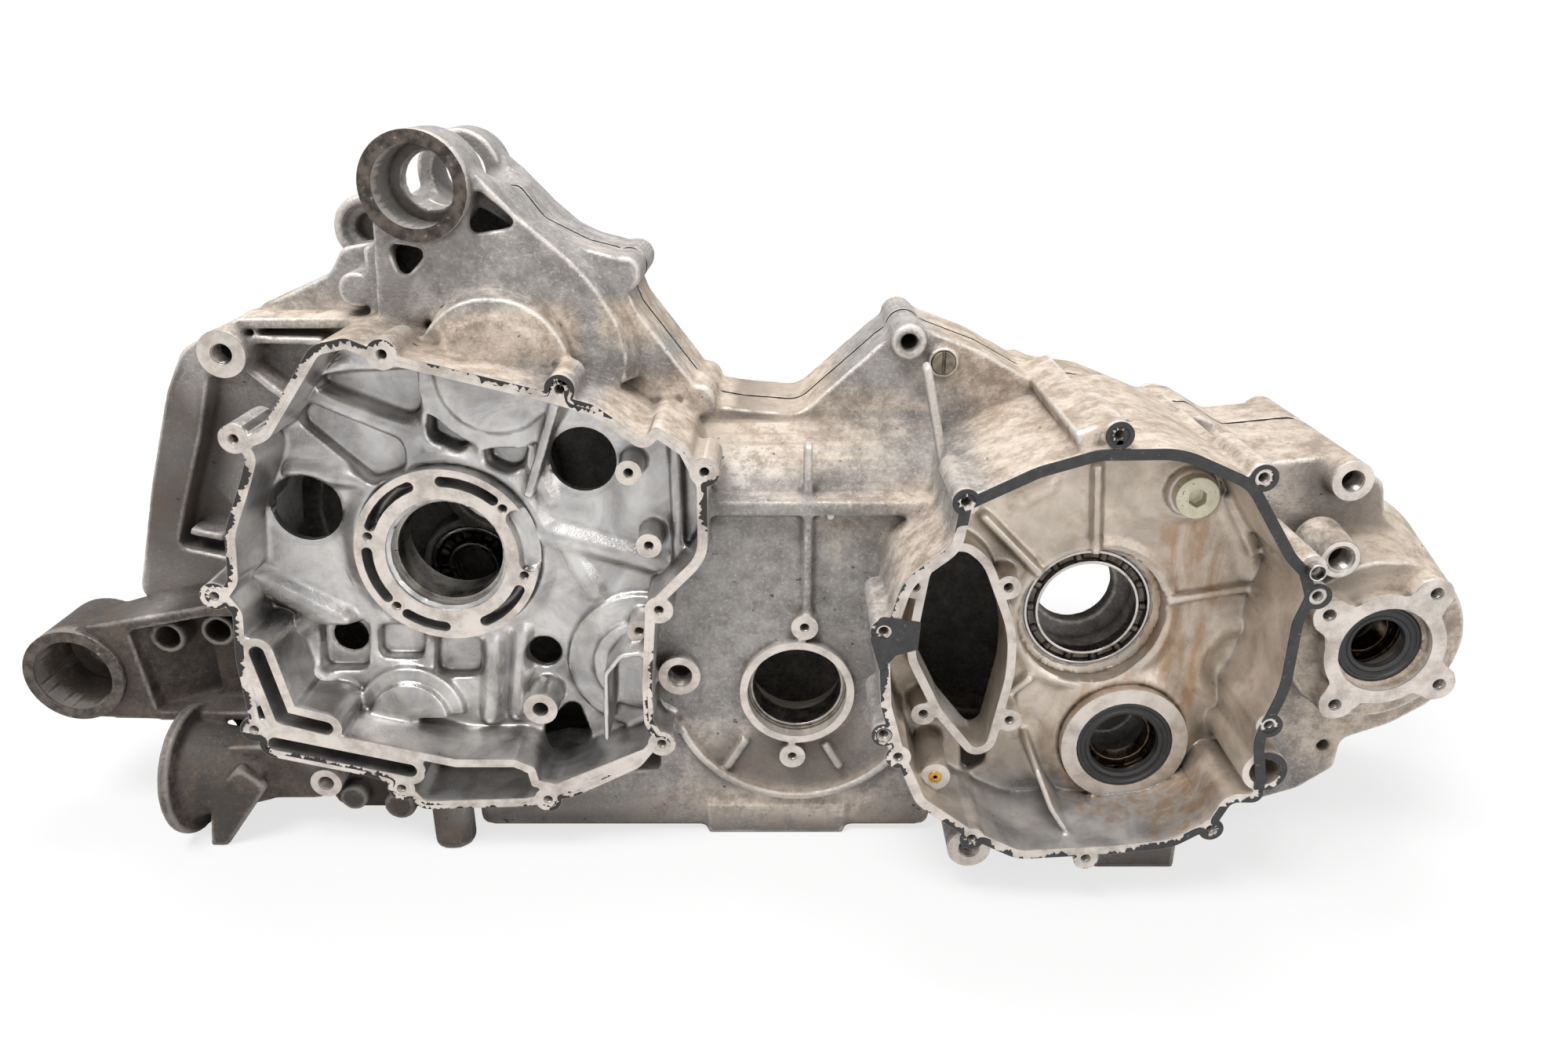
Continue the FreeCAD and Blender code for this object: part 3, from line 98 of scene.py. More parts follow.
# Levels of the front casting's faces
LEFT_FACE_Y = -90.0
LEFT_FLOOR_Y = -56.0
RIGHT_FACE_Y = -132.0
RIGHT_FLOOR_Y = -82.0
CRANK_RING_Y = -68.0
LENS_Y = -100.0
PANEL_RING_Y = -75.0
POST_Y = -78.0
POST_BOSS_Y = -76.0
COUNTER_BOSS_Y = -91.0
HUB_Y = -100.0
MOUNT_BOSS_Y = -75.0
EYE_Y = -54.0
BLOCK_BOSS_Y = -38.0
LOWER_BOSS_Y = -122.0
STUB_Y = -74.0

# Chambers: the centres of their cover faces, the width of a rim and of its outer edge, how deep
# behind its floor a chamber is washed, and its floor's reach
LEFT_CENTRE = (12.0, -12.0)
RIGHT_CENTRE = (315.0, -30.0)
RIM_WIDTH_MM = 9.0
RIM_EDGE_MM = 1.0
WASHED_DEPTH_MM = 9.5
CHAMBER_REACH_MM = 150.0

# Casting skins: reach in metres at which points merge, voxel of the rebuilt surface, rounds of
# smoothing, the most triangles of each, and the angle of their edges
MERGE_REACH = 2e-6
VOXEL_MM = 1.25
RELAX_ROUNDS = 7
FRONT_TRIANGLES = 196000
REAR_TRIANGLES = 110000
SKIN_EDGE_DEG = 50

# Small parts: rounds of smoothing, and the angle of their edges and of a turned ring's
PART_ROUNDS = 3
PART_EDGE_DEG = 60
TURNED_EDGE_DEG = 40

# Machined faces of the front casting: level, centre and reach
LEFT_COVER_FACE = (LEFT_FACE_Y, LEFT_CENTRE, 175.0)
RIGHT_COVER_FACE = (RIGHT_FACE_Y, RIGHT_CENTRE, 135.0)
MACHINED_FACES = [
    LEFT_COVER_FACE, RIGHT_COVER_FACE, (CRANK_RING_Y, CRANK, 47.5), (LENS_Y, (262.0, -35.0), 70.0),
    (HUB_Y, HUB, 52.0), (COUNTER_BOSS_Y, COUNTERSHAFT, 34.0), (PANEL_RING_Y, SHIFT, 48.0),
    (POST_Y, (60.0, -20.0), 110.0), (MOUNT_BOSS_Y, (451.0, 22.0), 34.0),
    (-118.0, (247.8, -98.6), 9.0), (LOWER_BOSS_Y, LOWER_BOSS, 14.0),
    (BLOCK_BOSS_Y, BLOCK_BOSS, 12.6), (POST_BOSS_Y, POST_BOSS, 11.5), (STUB_Y, STUB, 9.0),
]

# Worn rings in front of the mount eyes
WORN_FACES = [(EYE_Y, TOP_EYE, 27.0), (EYE_Y, LEFT_EYE, 28.5)]

# Plates on the machined faces: how far they stand out of the skin and reach into it
PLATE_LIFT_MM = 0.03
PLATE_DEPTH_MM = 0.6

# Sealant left on a cover face: step along the outline, greatest and least width, height over the
# face, depth of its root, and the noises of its width as amount and length of a wave
SEALANT_STEP_MM = 0.4
SEALANT_WIDEST_MM = 4.2
SEALANT_LEAST_MM = 0.15
SEALANT_HEIGHT_MM = 0.07
SEALANT_ROOT_MM = 0.2
SEALANT_SPREAD = (7.0, 35.0)
SEALANT_TEARS = [(3.4, 6.0), (2.6, 1.7), (1.6, 0.8)]

# Tapped holes: how much wider and deeper the solid's hole is than the tapping radius and the face,
# sizes as tapping radius and thread pitch, and places
HOLE_WALL_MM = 0.12
HOLE_DEPTH_MM = 16
M6 = (2.6, 1.0)
M8 = (3.4, 1.25)
M10 = (4.4, 1.25)
M12 = (5.6, 1.5)
MOUNT_THREAD = (5.8, 1.5)
M14 = (6.2, 1.5)
M16 = (6.8, 1.5)
LEFT_SCREWS = [
    (-11.4, 109.6), (68.5, 93.1), (134.4, 52.9), (109.8, -19.8), (108.2, -97.4), (46, -132.2),
    (-31.6, -125.2), (-103.8, -88.8), (-110.3, -12.1), (-86.2, 69.3),
]
RIGHT_SCREWS = [
    (252.3, 53.7), (316.4, 84.3), (381.4, 65), (414.7, 8), (403.4, -60), (384.1, -119.9),
    (323.6, -137.5), (265.7, -125.5), (218.1, -10), (227.2, -77.8),
]
RIGHT_DOWELS = [(410.5, 21.6), (220.0, -65.5)]
LENS_SCREWS = [(235.7, -2.3), (281, -2.7), (286.8, -77), (242.8, -73.3)]
POST_SCREWS = [(96.5, 48.3), (104.7, 9.9), (97.7, -37.8)]
EAR_SCREWS = [(182.8, -37.2), (176.6, -115.0)]

# Screws on a circle: radius, and angles in degrees
RING_SCREWS = (40.3, (39.8, -15.7, -135.8, 164.6))
HUB_SCREWS = (36.5, (58.0, 148.0, 238.0, 328.0))

# A thread's cut surface: where it starts and ends under the face, points round it, clearance of its
# root, its height in pitches, and its countersink as radius over the hole's and depth
THREAD_START_MM = 0.9
THREAD_DEPTH_MM = 12.0
THREAD_AROUND = 28
THREAD_CLEARANCE_MM = 0.08
THREAD_HEIGHT = 0.42
COUNTERSINK = [(1.1, 0.3), (1.0, -0.06), (-0.05, 0.85)]

# Threaded boss beside the cover dowel: centre, levels of face and root, radii of root, face and
# hole, and the shares of its finish
BOSS = (441.1, 10.4)
BOSS_Y = -96.0
BOSS_ROOT_Y = -70.0
BOSS_RADII = (12.5, 9.9, 6.3)
BOSS_SHARES = {"relief": 0.5, "dust": 0.5}

# Hub flange: radius over its ears and at the waists between them, half an ear's angle, the end of
# its plate, the radius that holds it all, and the cuts in edges longer than the longest
HUB_EAR = 47.5
HUB_WAIST = 30.0
HUB_EAR_SPREAD_DEG = 15.0
HUB_PLATE_BACK_Y = -91.5
HUB_REACH = 50.0
HUB_CUTS = 9
HUB_LONGEST_EDGE_MM = 1.2

# Bored and turned surfaces of the front casting, by axis: radius, first and last level
BORES = {
    CRANK: [(31.0, -68.0, -65.0), (29.0, -65.0, -30.0), (46.8, -68.0, -58.0)],
    SHIFT: [(26.3, -75.0, -30.0), (30.3, -75.0, -70.0)],
    INPUT: [(37.0, -84.0, -73.0), (32.5, -73.0, -66.0), (29.5, -66.0, -46.0)],
    COUNTERSHAFT: [(25.0, -91.0, -82.0), (33.0, -91.0, -84.0)],
    HUB: [(23.0, -100.0, -94.0), (21.0, -94.0, -78.0)],
    TOP_EYE: [(19.2, -54.0, -24.0), (25.4, -54.0, -44.0), (14.0, -24.0, -2.0)],
    LEFT_EYE: [(21.0, -54.0, -18.0), (27.0, -54.0, -44.0)],
    (-72.8, 21.9): [(18.3, -56.0, -50.0)],
    (70.7, 47.8): [(17.0, -56.0, -50.0)],
}

# Soft webs and ridges cast on the chamber floors: start, end, half width and height
LEFT_WEBS = [
    ((-57, 80), (-13, 62), 4.5, 5.0), ((-13, 62), (-20, 40), 4.5, 5.0),
    ((-45, 96), (-57, 80), 4.5, 5.0), ((-4, 86), (-4, 57), 3.5, 4.5),
    ((22, 80), (22, 54), 3.5, 4.5), ((40, 60), (53, 26), 3.0, 4.0),
    ((48, 9), (118, -12), 4.5, 5.5), ((58, 4), (73, -26), 4.0, 4.0),
    ((-103, -17), (-62, -41), 6.0, 8.0), ((-100, -50), (-78, -41), 4.5, 6.0),
    ((17, -53), (11, -100), 4.0, 6.5), ((33, -47), (25, -98), 3.5, 5.5),
    ((-76, 41), (-38, 37), 3.5, 4.0), ((-82, -76), (-60, -104), 6.0, 5.0),
]
RIGHT_WEBS = [
    ((389, 36), (403, 12), 3.5, 4.0), ((403, 12), (410, -14), 3.5, 4.0),
    ((385, -50), (388, -66), 3.0, 3.0), ((385, -50), (395, -34), 3.0, 3.0),
    ((395, -34), (406, -32), 3.0, 3.0), ((388, -66), (398, -76), 3.0, 2.5),
    ((286, 36), (300, 44), 4.0, 3.0),
]

# Fairings round bosses on a chamber floor: centre, inner radius, outer radius and height
LEFT_FAIRINGS = [(CRANK, 46.8, 58.0, 5.0)]
RIGHT_FAIRINGS = [
    (INPUT, 37.0, 46.0, 3.0), (COUNTERSHAFT, 33.0, 45.0, 4.0), (PLUG, 12.5, 19.0, 4.0),
]

# The two chambers: cover face, its centre, floor, webs and fairings
CHAMBERS = [
    (LEFT_FACE_Y, LEFT_CENTRE, LEFT_FLOOR_Y, LEFT_WEBS, LEFT_FAIRINGS),
    (RIGHT_FACE_Y, RIGHT_CENTRE, RIGHT_FLOOR_Y, RIGHT_WEBS, RIGHT_FAIRINGS),
]

# Where the outside is caked with brown grime, dusted tan or rubbed pale, seen from the front:
# centre, half width and half height, share
GRIME_PLACES = [
    ((-205, -80), (75, 45), 1.0), ((-140, -70), (40, 45), 1.0), ((-150, 20), (34, 95), 0.72),
    ((-150, -135), (75, 42), 0.92), ((-60, -158), (80, 26), 0.85), ((60, -160), (90, 24), 0.62),
    ((200, -164), (130, 12), 0.6), ((179, -122), (66, 24), 0.64), ((205, -76), (18, 45), 0.45),
    ((380, -155), (70, 26), 0.66), ((490, -60), (60, 95), 0.32), ((452, 20), (46, 46), 0.56),
    ((165, 56), (60, 14), 0.6), ((-4, 108), (14, 12), 0.6), ((-14, 128), (12, 26), 0.55),
    ((150, 62), (9, 18), 0.75), ((0, 180), (30, 30), 0.55), ((120, 34), (40, 10), 0.5),
]
DUST_PLACES = [
    ((170, 62), (70, 22), 0.85), ((320, 88), (80, 34), 0.95), ((395, 50), (50, 40), 0.6),
    ((31, 98), (46, 42), 0.3), ((60, 112), (80, 14), 0.9), ((-60, 112), (50, 14), 0.6),
    ((80, 140), (40, 40), 0.1), ((225, 20), (40, 24), 0.6), ((-125, 80), (30, 24), 0.45),
    ((110, 72), (30, 20), 0.9), ((205, 40), (60, 16), 0.2), ((179, -152), (110, 14), 0.8),
    ((179, -112), (80, 34), 0.6), ((440, 30), (50, 40), 0.6), ((480, -50), (70, 90), 0.9),
]
RUBBED_PLACES = [
    ((148, 44), (26, 12), 0.9), ((200, 34), (30, 14), 0.2), ((62, 140), (60, 52), 0.1),
    ((165, -10), (34, 34), 0.3), ((300, 78), (40, 18), 0.3),
]

# Finish of the chambers, in metres: the X where they meet, the Z over which the right one has its
# varnish, the oil that ran down it in a column, and the oil around the countershaft's seal
CHAMBERS_MEET_X = (0.20, 0.225)
VARNISH_FROM_Z = (-0.118, -0.09)
OIL_RUN_X = 0.372
OIL_RUN_HALF = (0.012, 0.03)
OIL_RUN_TOP_Z = (0.036, 0.022)
OIL_HALO_AT = (0.35, -0.088, -0.0975)
OIL_HALO_REACH = (0.034, 0.062)

# Reach of the darkening in the casting's nooks: painted shade, with dirt in them on the outside
NOOK_SHADE_MM = 14

# Bearings: axis, bore radius, outer radius, width, front face level, number of balls. A ball's
# radius, the thickness of a ring's land and the cage's half width are shares of the rings' gap.
BEARINGS = {
    "input": (INPUT, 25.0, 32.5, 7.0, -73.0, 14),
    "balancer": (BALANCER, 12.5, 26.0, 15.0, 46.0, 9),
    "countershaft": (COUNTERSHAFT, 15.0, 23.5, 9.0, -81.0, 9),
    "output": (HUB, 12.5, 20.5, 12.0, -76.0, 9),
}
BALL_SHARE = 0.30
LAND_SHARE = 0.22
CAGE_SHARE = 0.17

# Races: clearance to the balls, half the groove's angle in radians, and the round of a ring's edges
GROOVE_CLEARANCE_MM = 0.1
GROOVE_HALF_ANGLE = 0.42
RING_EDGE_MM = 0.5

# Balls and cages: points round a ball and from pole to pole, and a cage's steps for each ball, its
# thickness, its share of a ball's height, and half the gap between its halves
BALL_GRID = (24, 12)
CAGE_STEPS = 20
CAGE_SHEET_MM = 0.5
CAGE_FIT = 0.97
CAGE_GAP_MM = 0.12

# Oil seals: axis, bore radius, outer radius, width, front face level
SEALS = {
    "countershaft_seal": (COUNTERSHAFT, 17.5, 25.0, 8.0, COUNTER_BOSS_Y),
    "output_seal": (HUB, 13.0, 21.0, 8.0, -94.0),
}


def linear(hex_colour):
    """sRGB hex value as a linear RGBA colour."""
    parts = [int(hex_colour[i:i + 2], 16) / 255 for i in (1, 3, 5)]
    return [c / 12.92 if c <= 0.04045 else ((c + 0.055) / 1.055) ** 2.4 for c in parts] + [1.0]


def add(tree, kind, inputs=None, **settings):
    """One shader node with its settings, its values and its links."""
    made = tree.nodes.new(kind)
    for name, value in settings.items():
        setattr(made, name, value)
    for name, value in (inputs or {}).items():
        if isinstance(value, bpy.types.NodeSocket):
            tree.links.new(value, made.inputs[name])
        else:
            made.inputs[name].default_value = value
    return made


def new_material(name):
    material = bpy.data.materials.new(name)
    material.use_nodes = True
    tree = material.node_tree
    tree.nodes.clear()
    return material, tree


def object_point(tree):
    return add(tree, "ShaderNodeTexCoord").outputs["Object"]


def noise(tree, point, size_mm, detail=4.0, rough=0.55, distortion=0.0):
    """Noise whose lumps measure about size_mm."""
    made = add(tree, "ShaderNodeTexNoise",
               {"Vector": point, "Scale": 1.0 / (size_mm * MM), "Detail": detail,
                "Roughness": rough, "Distortion": distortion})
    return made.outputs["Fac"]


def ramp(tree, value, low, high, to_low=0.0, to_high=1.0):
    """Smooth step of a value from low to high."""
    made = add(tree, "ShaderNodeMapRange",
               {"Value": value, "From Min": low, "From Max": high, "To Min": to_low,
                "To Max": to_high}, interpolation_type="SMOOTHSTEP")
    return made.outputs["Result"]


def maths(tree, kind, a, b=0.0):
    return add(tree, "ShaderNodeMath", {0: a, 1: b}, operation=kind).outputs[0]


def weighted(tree, *terms):
    """Sum of values, each times its own number."""
    total = 0.0
    for value, share in terms:
        total = maths(tree, "ADD", total, maths(tree, "MULTIPLY", value, share))
    return total


def blend(tree, low, high, share):
    """Colour between low and high by share, each a hex value or a colour made before."""
    low, high = (linear(value) if isinstance(value, str) else value for value in (low, high))
    return add(tree, "ShaderNodeMix", {"Factor": share, 6: low, 7: high},
               data_type="RGBA").outputs[2]


def layer(tree, colour, over, value, low, high, most):
    """Colour with another over it: none where the value is low, up to the most where high."""
    return blend(tree, colour, over, ramp(tree, value, low, high, 0.0, most))


def between(tree, low, high, share):
    """Number between low and high by share."""
    return add(tree, "ShaderNodeMix", {"Factor": share, 2: low, 3: high},
               data_type="FLOAT").outputs[0]


def finish_material(tree, colour, metallic, roughness, height, distance_mm, strength=1.0):
    """The surface's shader, with a bump from a height."""
    bump = add(tree, "ShaderNodeBump",
               {"Height": height, "Distance": distance_mm * MM, "Strength": strength})
    shader = add(tree, "ShaderNodeBsdfPrincipled",
                 {"Base Color": colour, "Metallic": metallic, "Roughness": roughness,
                  "Normal": bump.outputs["Normal"]})
    add(tree, "ShaderNodeOutputMaterial", {"Surface": shader.outputs["BSDF"]})


def attribute(tree, name):
    return add(tree, "ShaderNodeAttribute", attribute_name=name).outputs["Fac"]


def outside_skin(tree, point, up):
    """Colour, metallic share and roughness of the skin as cast, outside.

    Grey oxide with a pale grain, tan dust dried on where it could settle, pale rubbed patches,
    brown grime low on the left, bare metal with a painted highlight on the worn ridges, and painted
    shade with dirt in the corners.
    """
    clouds = noise(tree, point, 36.0, 6.0, 0.62)
    patches = noise(tree, point, 11.0, 8.0, 0.72)
    specks = noise(tree, point, 2.0, 6.0, 0.8)
    pits = noise(tree, point, 5.0, 3.0, 0.5)
    relief = attribute(tree, "relief")

    mixed = weighted(tree, (patches, 0.55), (clouds, 0.25), (specks, 0.2))
    grey = blend(tree, "#726e6a", "#aaa6a3", ramp(tree, mixed, 0.36, 0.64))
    grey = layer(tree, grey, "#cdc7c1", specks, 0.54, 0.64, 0.5)
    dust = weighted(tree, (attribute(tree, "dust"), 0.8), (up, 0.3), (clouds, 0.6),
                    (patches, 0.5), (specks, 0.35))
    tan = blend(tree, "#9c8975", "#d8c9b9", ramp(tree, mixed, 0.4, 0.6))
    skin = layer(tree, grey, tan, dust, 0.95, 1.6, 0.85)
    rubbed = weighted(tree, (attribute(tree, "rubbed"), 0.55), (patches, 0.8), (specks, 0.5))
    skin = layer(tree, skin, "#dcd5ce", rubbed, 0.94, 1.16, 0.6)
    grime = weighted(tree, (attribute(tree, "grime"), 0.9), (clouds, 0.5), (patches, 0.5),
                     (specks, 0.2), (up, -0.12))
    grime_share = ramp(tree, grime, 0.9, 1.4, 0.0, 0.94)
    caked = blend(tree, "#1b1511", "#55483d", ramp(tree, mixed, 0.4, 0.62))
    caked = layer(tree, caked, "#a08c72", specks, 0.6, 0.72, 0.5)
    skin = blend(tree, skin, caked, grime_share)
    # Ridges: bare metal worn pale, lightened further as a painted highlight
    worn = ramp(tree, weighted(tree, (relief, 1.0), (specks, 0.2)), 0.68, 0.84, 0.0, 0.8)
    worn = maths(tree, "MULTIPLY", worn, ramp(tree, grime_share, 0.0, 1.0, 1.0, 0.3))
    skin = blend(tree, skin, "#d6cfc8", worn)
    # Corners: painted shade, darkened brown along with the dirt in them
    skin = layer(tree, skin, "#40362d", relief, 0.42, 0.2, 0.7)
    skin = layer(tree, skin, "#1f1a16", pits, 0.70, 0.74, 0.75)
    metallic = between(tree, 0.1, 0.6, worn)
    roughness = between(tree, ramp(tree, patches, 0.3, 0.7, 0.55, 0.78), 0.4, worn)
    return skin, metallic, roughness


def washed_metal(tree, point, x, z):
    """Colour and roughness inside the chambers: silvery on the left, tan varnish on the right.

    Orange-brown oil stains run down the right chamber below the plug and around the seal. Ridges
    carry a painted highlight and corners a painted shade.
    """
    smear = noise(tree, point, 26.0, 6.0, 0.6, 0.5)
    film = noise(tree, point, 8.0, 6.0, 0.66, 0.3)
    relief = attribute(tree, "relief")
    silver = blend(tree, "#949291", "#cccac8", ramp(tree, smear, 0.3, 0.7))
    silver = layer(tree, silver, "#ab9f92", film, 0.5, 0.72, 0.5)
    varnish = blend(tree, "#a99d90", "#d8ccbf", ramp(tree, smear, 0.3, 0.7))
    varnish = layer(tree, varnish, "#ad9b84", film, 0.46, 0.7, 0.6)
    varnished = maths(tree, "MULTIPLY", ramp(tree, x, *CHAMBERS_MEET_X),
                      ramp(tree, weighted(tree, (z, 1.0), (smear, 0.03)), *VARNISH_FROM_Z))
    inside = blend(tree, silver, varnish, varnished)
    run = noise(tree, add(tree, "ShaderNodeMapping", {"Vector": point, "Scale": (1, 1, 0.22)}
                          ).outputs["Vector"], 9.0, 4.0, 0.6, 0.6)
    column = ramp(tree, maths(tree, "ABSOLUTE", maths(tree, "SUBTRACT", x, OIL_RUN_X)),
                  *OIL_RUN_HALF, 1.0, 0.0)
    column = maths(tree, "MULTIPLY", column, ramp(tree, z, *OIL_RUN_TOP_Z))
    around = add(tree, "ShaderNodeVectorMath", {0: point, 1: OIL_HALO_AT},
                 operation="DISTANCE").outputs["Value"]
    halo = ramp(tree, around, *OIL_HALO_REACH, 1.0, 0.0)
    stain = weighted(tree, (maths(tree, "MAXIMUM", column, halo), 0.6), (run, 0.9))
    inside = layer(tree, inside, "#a0774a", stain, 0.92, 1.2, 0.62)
    # Painted highlight: ridges lightened
    inside = layer(tree, inside, "#e2dfdb", relief, 0.62, 0.9, 0.6)
    # Painted shade: corners darkened
    inside = layer(tree, inside, "#454240", relief, 0.42, 0.2, 0.65)
    return inside, ramp(tree, smear, 0.3, 0.7, 0.26, 0.4)


def make_cast_aluminium():
    """Die-cast aluminium: oxidised and dusty as cast outside, washed bright in the chambers."""
    material, tree = new_material("die_cast_aluminium")
    point = object_point(tree)
    x, _, z = add(tree, "ShaderNodeSeparateXYZ", {"Vector": point}).outputs
    normal = add(tree, "ShaderNodeNewGeometry").outputs["Normal"]
    up = add(tree, "ShaderNodeSeparateXYZ", {"Vector": normal}).outputs["Z"]
    skin, skin_metal, skin_rough = outside_skin(tree, point, up)
    inside, inside_rough = washed_metal(tree, point, x, z)
    chamber = ramp(tree, attribute(tree, "chamber"), 0.35, 0.65)
    colour = blend(tree, skin, inside, chamber)
    # Nooks darkened: painted shade, less inside the chambers, with dirt in the outside's nooks
    nook_shade = add(tree, "ShaderNodeAmbientOcclusion", {"Distance": NOOK_SHADE_MM * MM}, samples=6)
    shade = ramp(tree, nook_shade.outputs["AO"], 0.2, 0.85, 0.7, 0.0)
    colour = blend(tree, colour, "#2b2520",
                   maths(tree, "MULTIPLY", shade, between(tree, 0.95, 0.6, chamber)))
    metallic = between(tree, skin_metal, ramp(tree, x, *CHAMBERS_MEET_X, 0.85, 0.45), chamber)
    roughness = between(tree, skin_rough, inside_rough, chamber)
    height = weighted(tree, (noise(tree, point, 1.1, 3.0, 0.6), 0.5),
                      (noise(tree, point, 3.2, 3.0, 0.6), 0.6))
    finish_material(tree, colour, metallic, roughness,
                    maths(tree, "MULTIPLY", height, between(tree, 1.0, 0.35, chamber)), 0.7)
    return material


def make_milled_aluminium():
    """Face-milled aluminium: pale, with faint cutter marks and grey handling stains."""
    material, tree = new_material("face_milled_aluminium")
    point = object_point(tree)
    cloud = noise(tree, point, 14.0, 6.0, 0.68)
    lay = noise(tree, add(tree, "ShaderNodeMapping", {"Vector": point, "Scale": (1, 1, 9)}
                          ).outputs["Vector"], 7.0, 3.0, 0.6)
    colour = blend(tree, "#a9a098", "#d5ccc4", ramp(tree, cloud, 0.3, 0.62))
    colour = layer(tree, colour, "#7f7770", noise(tree, point, 2.4, 6.0, 0.8), 0.6, 0.7, 0.5)
    finish_material(tree, colour, 0.55, ramp(tree, lay, 0.3, 0.7, 0.36, 0.5), lay, 0.05, 0.5)
    return material


def make_ground_steel():
    """Hardened bearing steel, ground bright, with a thin brown oil film in patches."""
    material, tree = new_material("ground_bearing_steel")
    point = object_point(tree)
    film = noise(tree, point, 9.0, 4.0, 0.6)
    colour = layer(tree, "#b9b6b2", "#7d6a57", film, 0.52, 0.72, 0.8)
    finish_material(tree, colour, 1.0, ramp(tree, film, 0.3, 0.7, 0.16, 0.34),
                    noise(tree, point, 0.8, 2.0, 0.5), 0.05, 0.3)
    return material


def make_plain(name, low, high, metallic, rough_low, rough_high, size_mm, bump_mm=0.1,
               marks=None):
    """A finish with two close shades in clouds, its own roughness range, grain and scuffs."""
    material, tree = new_material(name)
    point = object_point(tree)
    cloud = noise(tree, point, size_mm, 5.0, 0.6)
    colour = blend(tree, low, high, ramp(tree, cloud, 0.35, 0.65))
    if marks:
        colour = layer(tree, colour, marks, noise(tree, point, size_mm / 2, 6.0, 0.7),
                       0.62, 0.66, 0.85)
    finish_material(tree, colour, metallic,
                    ramp(tree, cloud, 0.3, 0.7, rough_low, rough_high),
                    noise(tree, point, size_mm / 8, 3.0, 0.6), bump_mm, 0.6)
    return material


def stored(elements, key, width, kind=np.float32):
    """One property of a mesh's points, edges or faces, a row for each."""
    values = np.empty(len(elements) * width, kind)
    elements.foreach_get(key, values)
    return values.reshape(-1, width)


def mesh_arrays(mesh):
    """Vertex positions in millimetres and normals."""
    points = stored(mesh.vertices, "co", 3).astype(float) / MM
    return points, stored(mesh.vertex_normals, "vector", 3).astype(float)


def mesh_edges(mesh):
    return stored(mesh.edges, "vertices", 2, np.int32)


def put_points(mesh, points):
    """Moves a mesh's points to places in millimetres."""
    mesh.vertices.foreach_set("co", (points * MM).astype(np.float32).ravel())
    mesh.update()


def put_shares(mesh, shares):
    """Writes shares by name to a mesh's points, each an array or one number for all."""
    for name, values in shares.items():
        made = mesh.attributes.new(name, "FLOAT", "POINT")
        values = np.broadcast_to(values, len(mesh.vertices)).astype(np.float32)
        made.data.foreach_set("value", values)


def finish_mesh(mesh, material, edge_deg=None):
    """Smooth faces in one material, with edges over the angle kept sharp."""
    mesh.polygons.foreach_set("use_smooth", np.ones(len(mesh.polygons), bool))
    if edge_deg:
        mesh.set_sharp_from_angle(angle=math.radians(edge_deg))
    mesh.materials.clear()
    mesh.materials.append(material)


def modified(piece, kind, **settings):
    """Mesh of a piece after one modifier."""
    modifier = piece.modifiers.new("step", kind)
    for name, value in settings.items():
        setattr(modifier, name, value)
    graph = bpy.context.evaluated_depsgraph_get()
    mesh = bpy.data.meshes.new_from_object(piece.evaluated_get(graph))
    piece.modifiers.clear()
    piece.data = mesh
    return mesh


def link(name, mesh):
    piece = bpy.data.objects.new(name, mesh)
    bpy.context.scene.collection.objects.link(piece)
    return piece


def rebuilt_copy(node, name, voxel):
    """Copy of a CAD node as one closed surface of even voxels: the piece and its mesh."""
    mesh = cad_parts[node].data.copy()
    grid = bmesh.new()
    grid.from_mesh(mesh)
    bmesh.ops.remove_doubles(grid, verts=grid.verts, dist=MERGE_REACH)
    grid.to_mesh(mesh)
    grid.free()
    piece = link(name, mesh)
    mesh = modified(piece, "REMESH", mode="VOXEL", voxel_size=voxel * MM, adaptivity=0.0)
    return piece, mesh


def neighbour_mean(values, edges, count):
    """Mean of the neighbours' values at each point."""
    a, b = edges[:, 0], edges[:, 1]
    degree = np.bincount(a, minlength=count) + np.bincount(b, minlength=count)
    total = np.bincount(a, values[b], count) + np.bincount(b, values[a], count)
    return total / np.maximum(degree, 1)


def relax(points, edges, share, rounds):
    """Each point moves towards the mean of its neighbours, by its own share along each axis."""
    count = len(points)
    for _ in range(rounds):
        for axis in range(3):
            column = points[:, axis]
            column += share[:, axis] * (neighbour_mean(column, edges, count) - column)
    return points


def smooth_step(value, low, high):
    t = np.clip((value - low) / (high - low), 0, 1)
    return t * t * (3 - 2 * t)


def place_share(points, places):
    """Largest share of any place at each point: full inside its ellipse, fading out beyond it."""
    share = np.zeros(len(points))
    for centre, half, most in places:
        reach = np.hypot((points[:, 0] - centre[0]) / half[0], (points[:, 2] - centre[1]) / half[1])
        share = np.maximum(share, most * smooth_step(-reach, -1.35, -0.65))
    return share


def relief_at(points, normals, edges):
    """Half on the flat, one on a ridge and nought in a corner.

    The curvature is twice the drop of the neighbours' mean below the tangent plane, over the
    squared edge length; it is averaged over a few rings and laid on a scale of 1 / 2.5 mm.
    """
    count = len(points)
    mean = np.stack([neighbour_mean(points[:, axis], edges, count) for axis in range(3)], axis=1)
    drop = np.einsum("ij,ij->i", points - mean, normals)
    length = np.sum((points[edges[:, 0]] - points[edges[:, 1]]) ** 2, axis=1)
    square = np.bincount(edges[:, 0], length, count) + np.bincount(edges[:, 1], length, count)
    degree = np.bincount(edges.ravel(), minlength=count)
    curve = 2 * drop / np.maximum(square / np.maximum(degree, 1), 0.2)
    for _ in range(3):
        curve = 0.4 * curve + 0.6 * neighbour_mean(curve, edges, count)
    return np.clip(0.5 + 1.25 * curve, 0, 1)


def from_axis(points, centre):
    """X and Z of points from an axis, and their distance from it."""
    x = points[:, 0] - centre[0]
    z = points[:, 2] - centre[1]
    return x, z, np.hypot(x, z)


